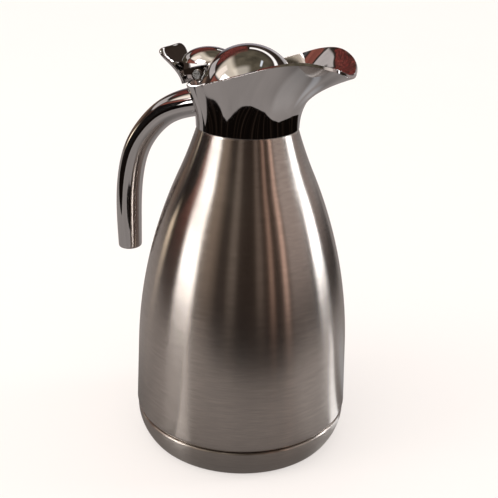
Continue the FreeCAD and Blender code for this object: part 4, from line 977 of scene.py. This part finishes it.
    # Overhead panels: colour, strength, then (centre, half, soft) to the right and toward
    # the camera.
    panels = [
        ((1.0, 0.90, 0.76), 0.80, (-1.25, 0.72, 0.14), (0.05, 0.62, 0.16)),
        ((1.0, 0.93, 0.82), 0.50, (-0.30, 0.30, 0.12), (0.50, 0.30, 0.12)),
        ((0.80, 0.90, 1.0), 1.1, (0.40, 0.035, 0.02), (-0.05, 0.16, 0.05)),
        ((1.0, 0.95, 0.88), 0.45, (1.15, 0.30, 0.08), (0.25, 0.42, 0.12)),
    ]
    lights += [(colour, strength,
                overhead * (ceiling_right.band(*across) * ceiling_near.band(*toward)))
               for colour, strength, across, toward in panels]
    lit = net.total([net.scale(colour, mask * strength) for colour, strength, mask in lights])

    # Below the table's edge: nearly black, with faint brown uprights and two paler patches.
    stripes = net.noise(net.join(turn * 0.16, 0.0, 0.0), scale=1.0, detail=2.0, rough=0.6)
    dark = net.total([
        net.scale((0.05, 0.034, 0.026), stripes.remap((0.50, 0.78), to=(0.08, 0.8))),
        net.scale((0.25, 0.21, 0.185), turn.band(-132.0, half=20.0, soft=2.0)),
        net.scale((0.30, 0.28, 0.275), turn.band(158.0, half=12.0, soft=3.0)),
    ])
    return net.mix(elev.fall(-9.0, -4.0), lit, dark)


def studio_world():
    """Pale for the camera and for soft light, the studio for every other ray."""
    world = bpy.data.worlds.new("studio")
    scene.world = world
    world.use_nodes = True
    world.node_tree.nodes.clear()
    net = Net(world.node_tree)
    studio = net.node("ShaderNodeBackground", {"Color": studio_colour(net)})
    pale = net.node("ShaderNodeBackground", {"Color": PALE})
    rays = net.node("ShaderNodeLightPath").outputs
    soft = net.math("MAXIMUM", rays["Is Camera Ray"], rays["Is Diffuse Ray"])
    pick = net.node("ShaderNodeMixShader", {0: soft, 1: studio.outputs[0], 2: pale.outputs[0]})
    net.node("ShaderNodeOutputWorld", {"Surface": pick.outputs[0]})


studio_world()


# ------------------------------------------------------------------ lamp and camera
def overhead_softbox():
    lamp = bpy.data.lights.new("overhead_softbox", "AREA")
    lamp.shape = "RECTANGLE"
    lamp.size, lamp.size_y = 1.4, 1.0
    lamp.energy = 6.0
    lamp.color = (1.0, 0.97, 0.94)
    obj = bpy.data.objects.new("overhead_softbox", lamp)
    place, target = Vector((-0.5, -0.7, 1.5)), Vector((0.0, 0.0, 0.1))
    obj.location = place
    obj.rotation_mode = "QUATERNION"
    obj.rotation_quaternion = (target - place).to_track_quat("-Z", "Y")
    obj.visible_glossy = False
    scene.collection.objects.link(obj)


CAM_PLACE = (0.2640, -0.4965, 0.3781)
# Radians: pan from the view's turn, pitch below level, roll about the line of sight.
PAN, PITCH, ROLL = 0.0061482, 0.4070921, 0.0287853


def turned(v):
    """A vector turned about Z by the view's turn."""
    cos, sin = math.cos(math.radians(VIEW_TURN)), math.sin(math.radians(VIEW_TURN))
    return Vector((v[0] * cos - v[1] * sin, v[0] * sin + v[1] * cos, v[2]))


def camera():
    forward = Vector((math.sin(PAN) * math.cos(PITCH), math.cos(PAN) * math.cos(PITCH),
                      -math.sin(PITCH)))
    level = forward.cross(Vector((0, 0, 1))).normalized()
    upright = level.cross(forward).normalized()
    right = level * math.cos(ROLL) + upright * math.sin(ROLL)
    up = level * -math.sin(ROLL) + upright * math.cos(ROLL)
    data = bpy.data.cameras.new("camera")
    data.sensor_width = 36.0
    data.lens = 65.0602410
    data.shift_x = -0.00100401606
    data.shift_y = -0.000763052209
    data.clip_start, data.clip_end = 0.01, 60.0
    obj = bpy.data.objects.new("camera", data)
    axes = Matrix((turned(right), turned(up), -turned(forward))).transposed()
    obj.matrix_world = Matrix.Translation(Vector(CAM_PLACE)) @ axes.to_4x4()
    scene.collection.objects.link(obj)
    scene.camera = obj


overhead_softbox()
camera()
scene.view_settings.view_transform = "Standard"
scene.view_settings.look = "None"
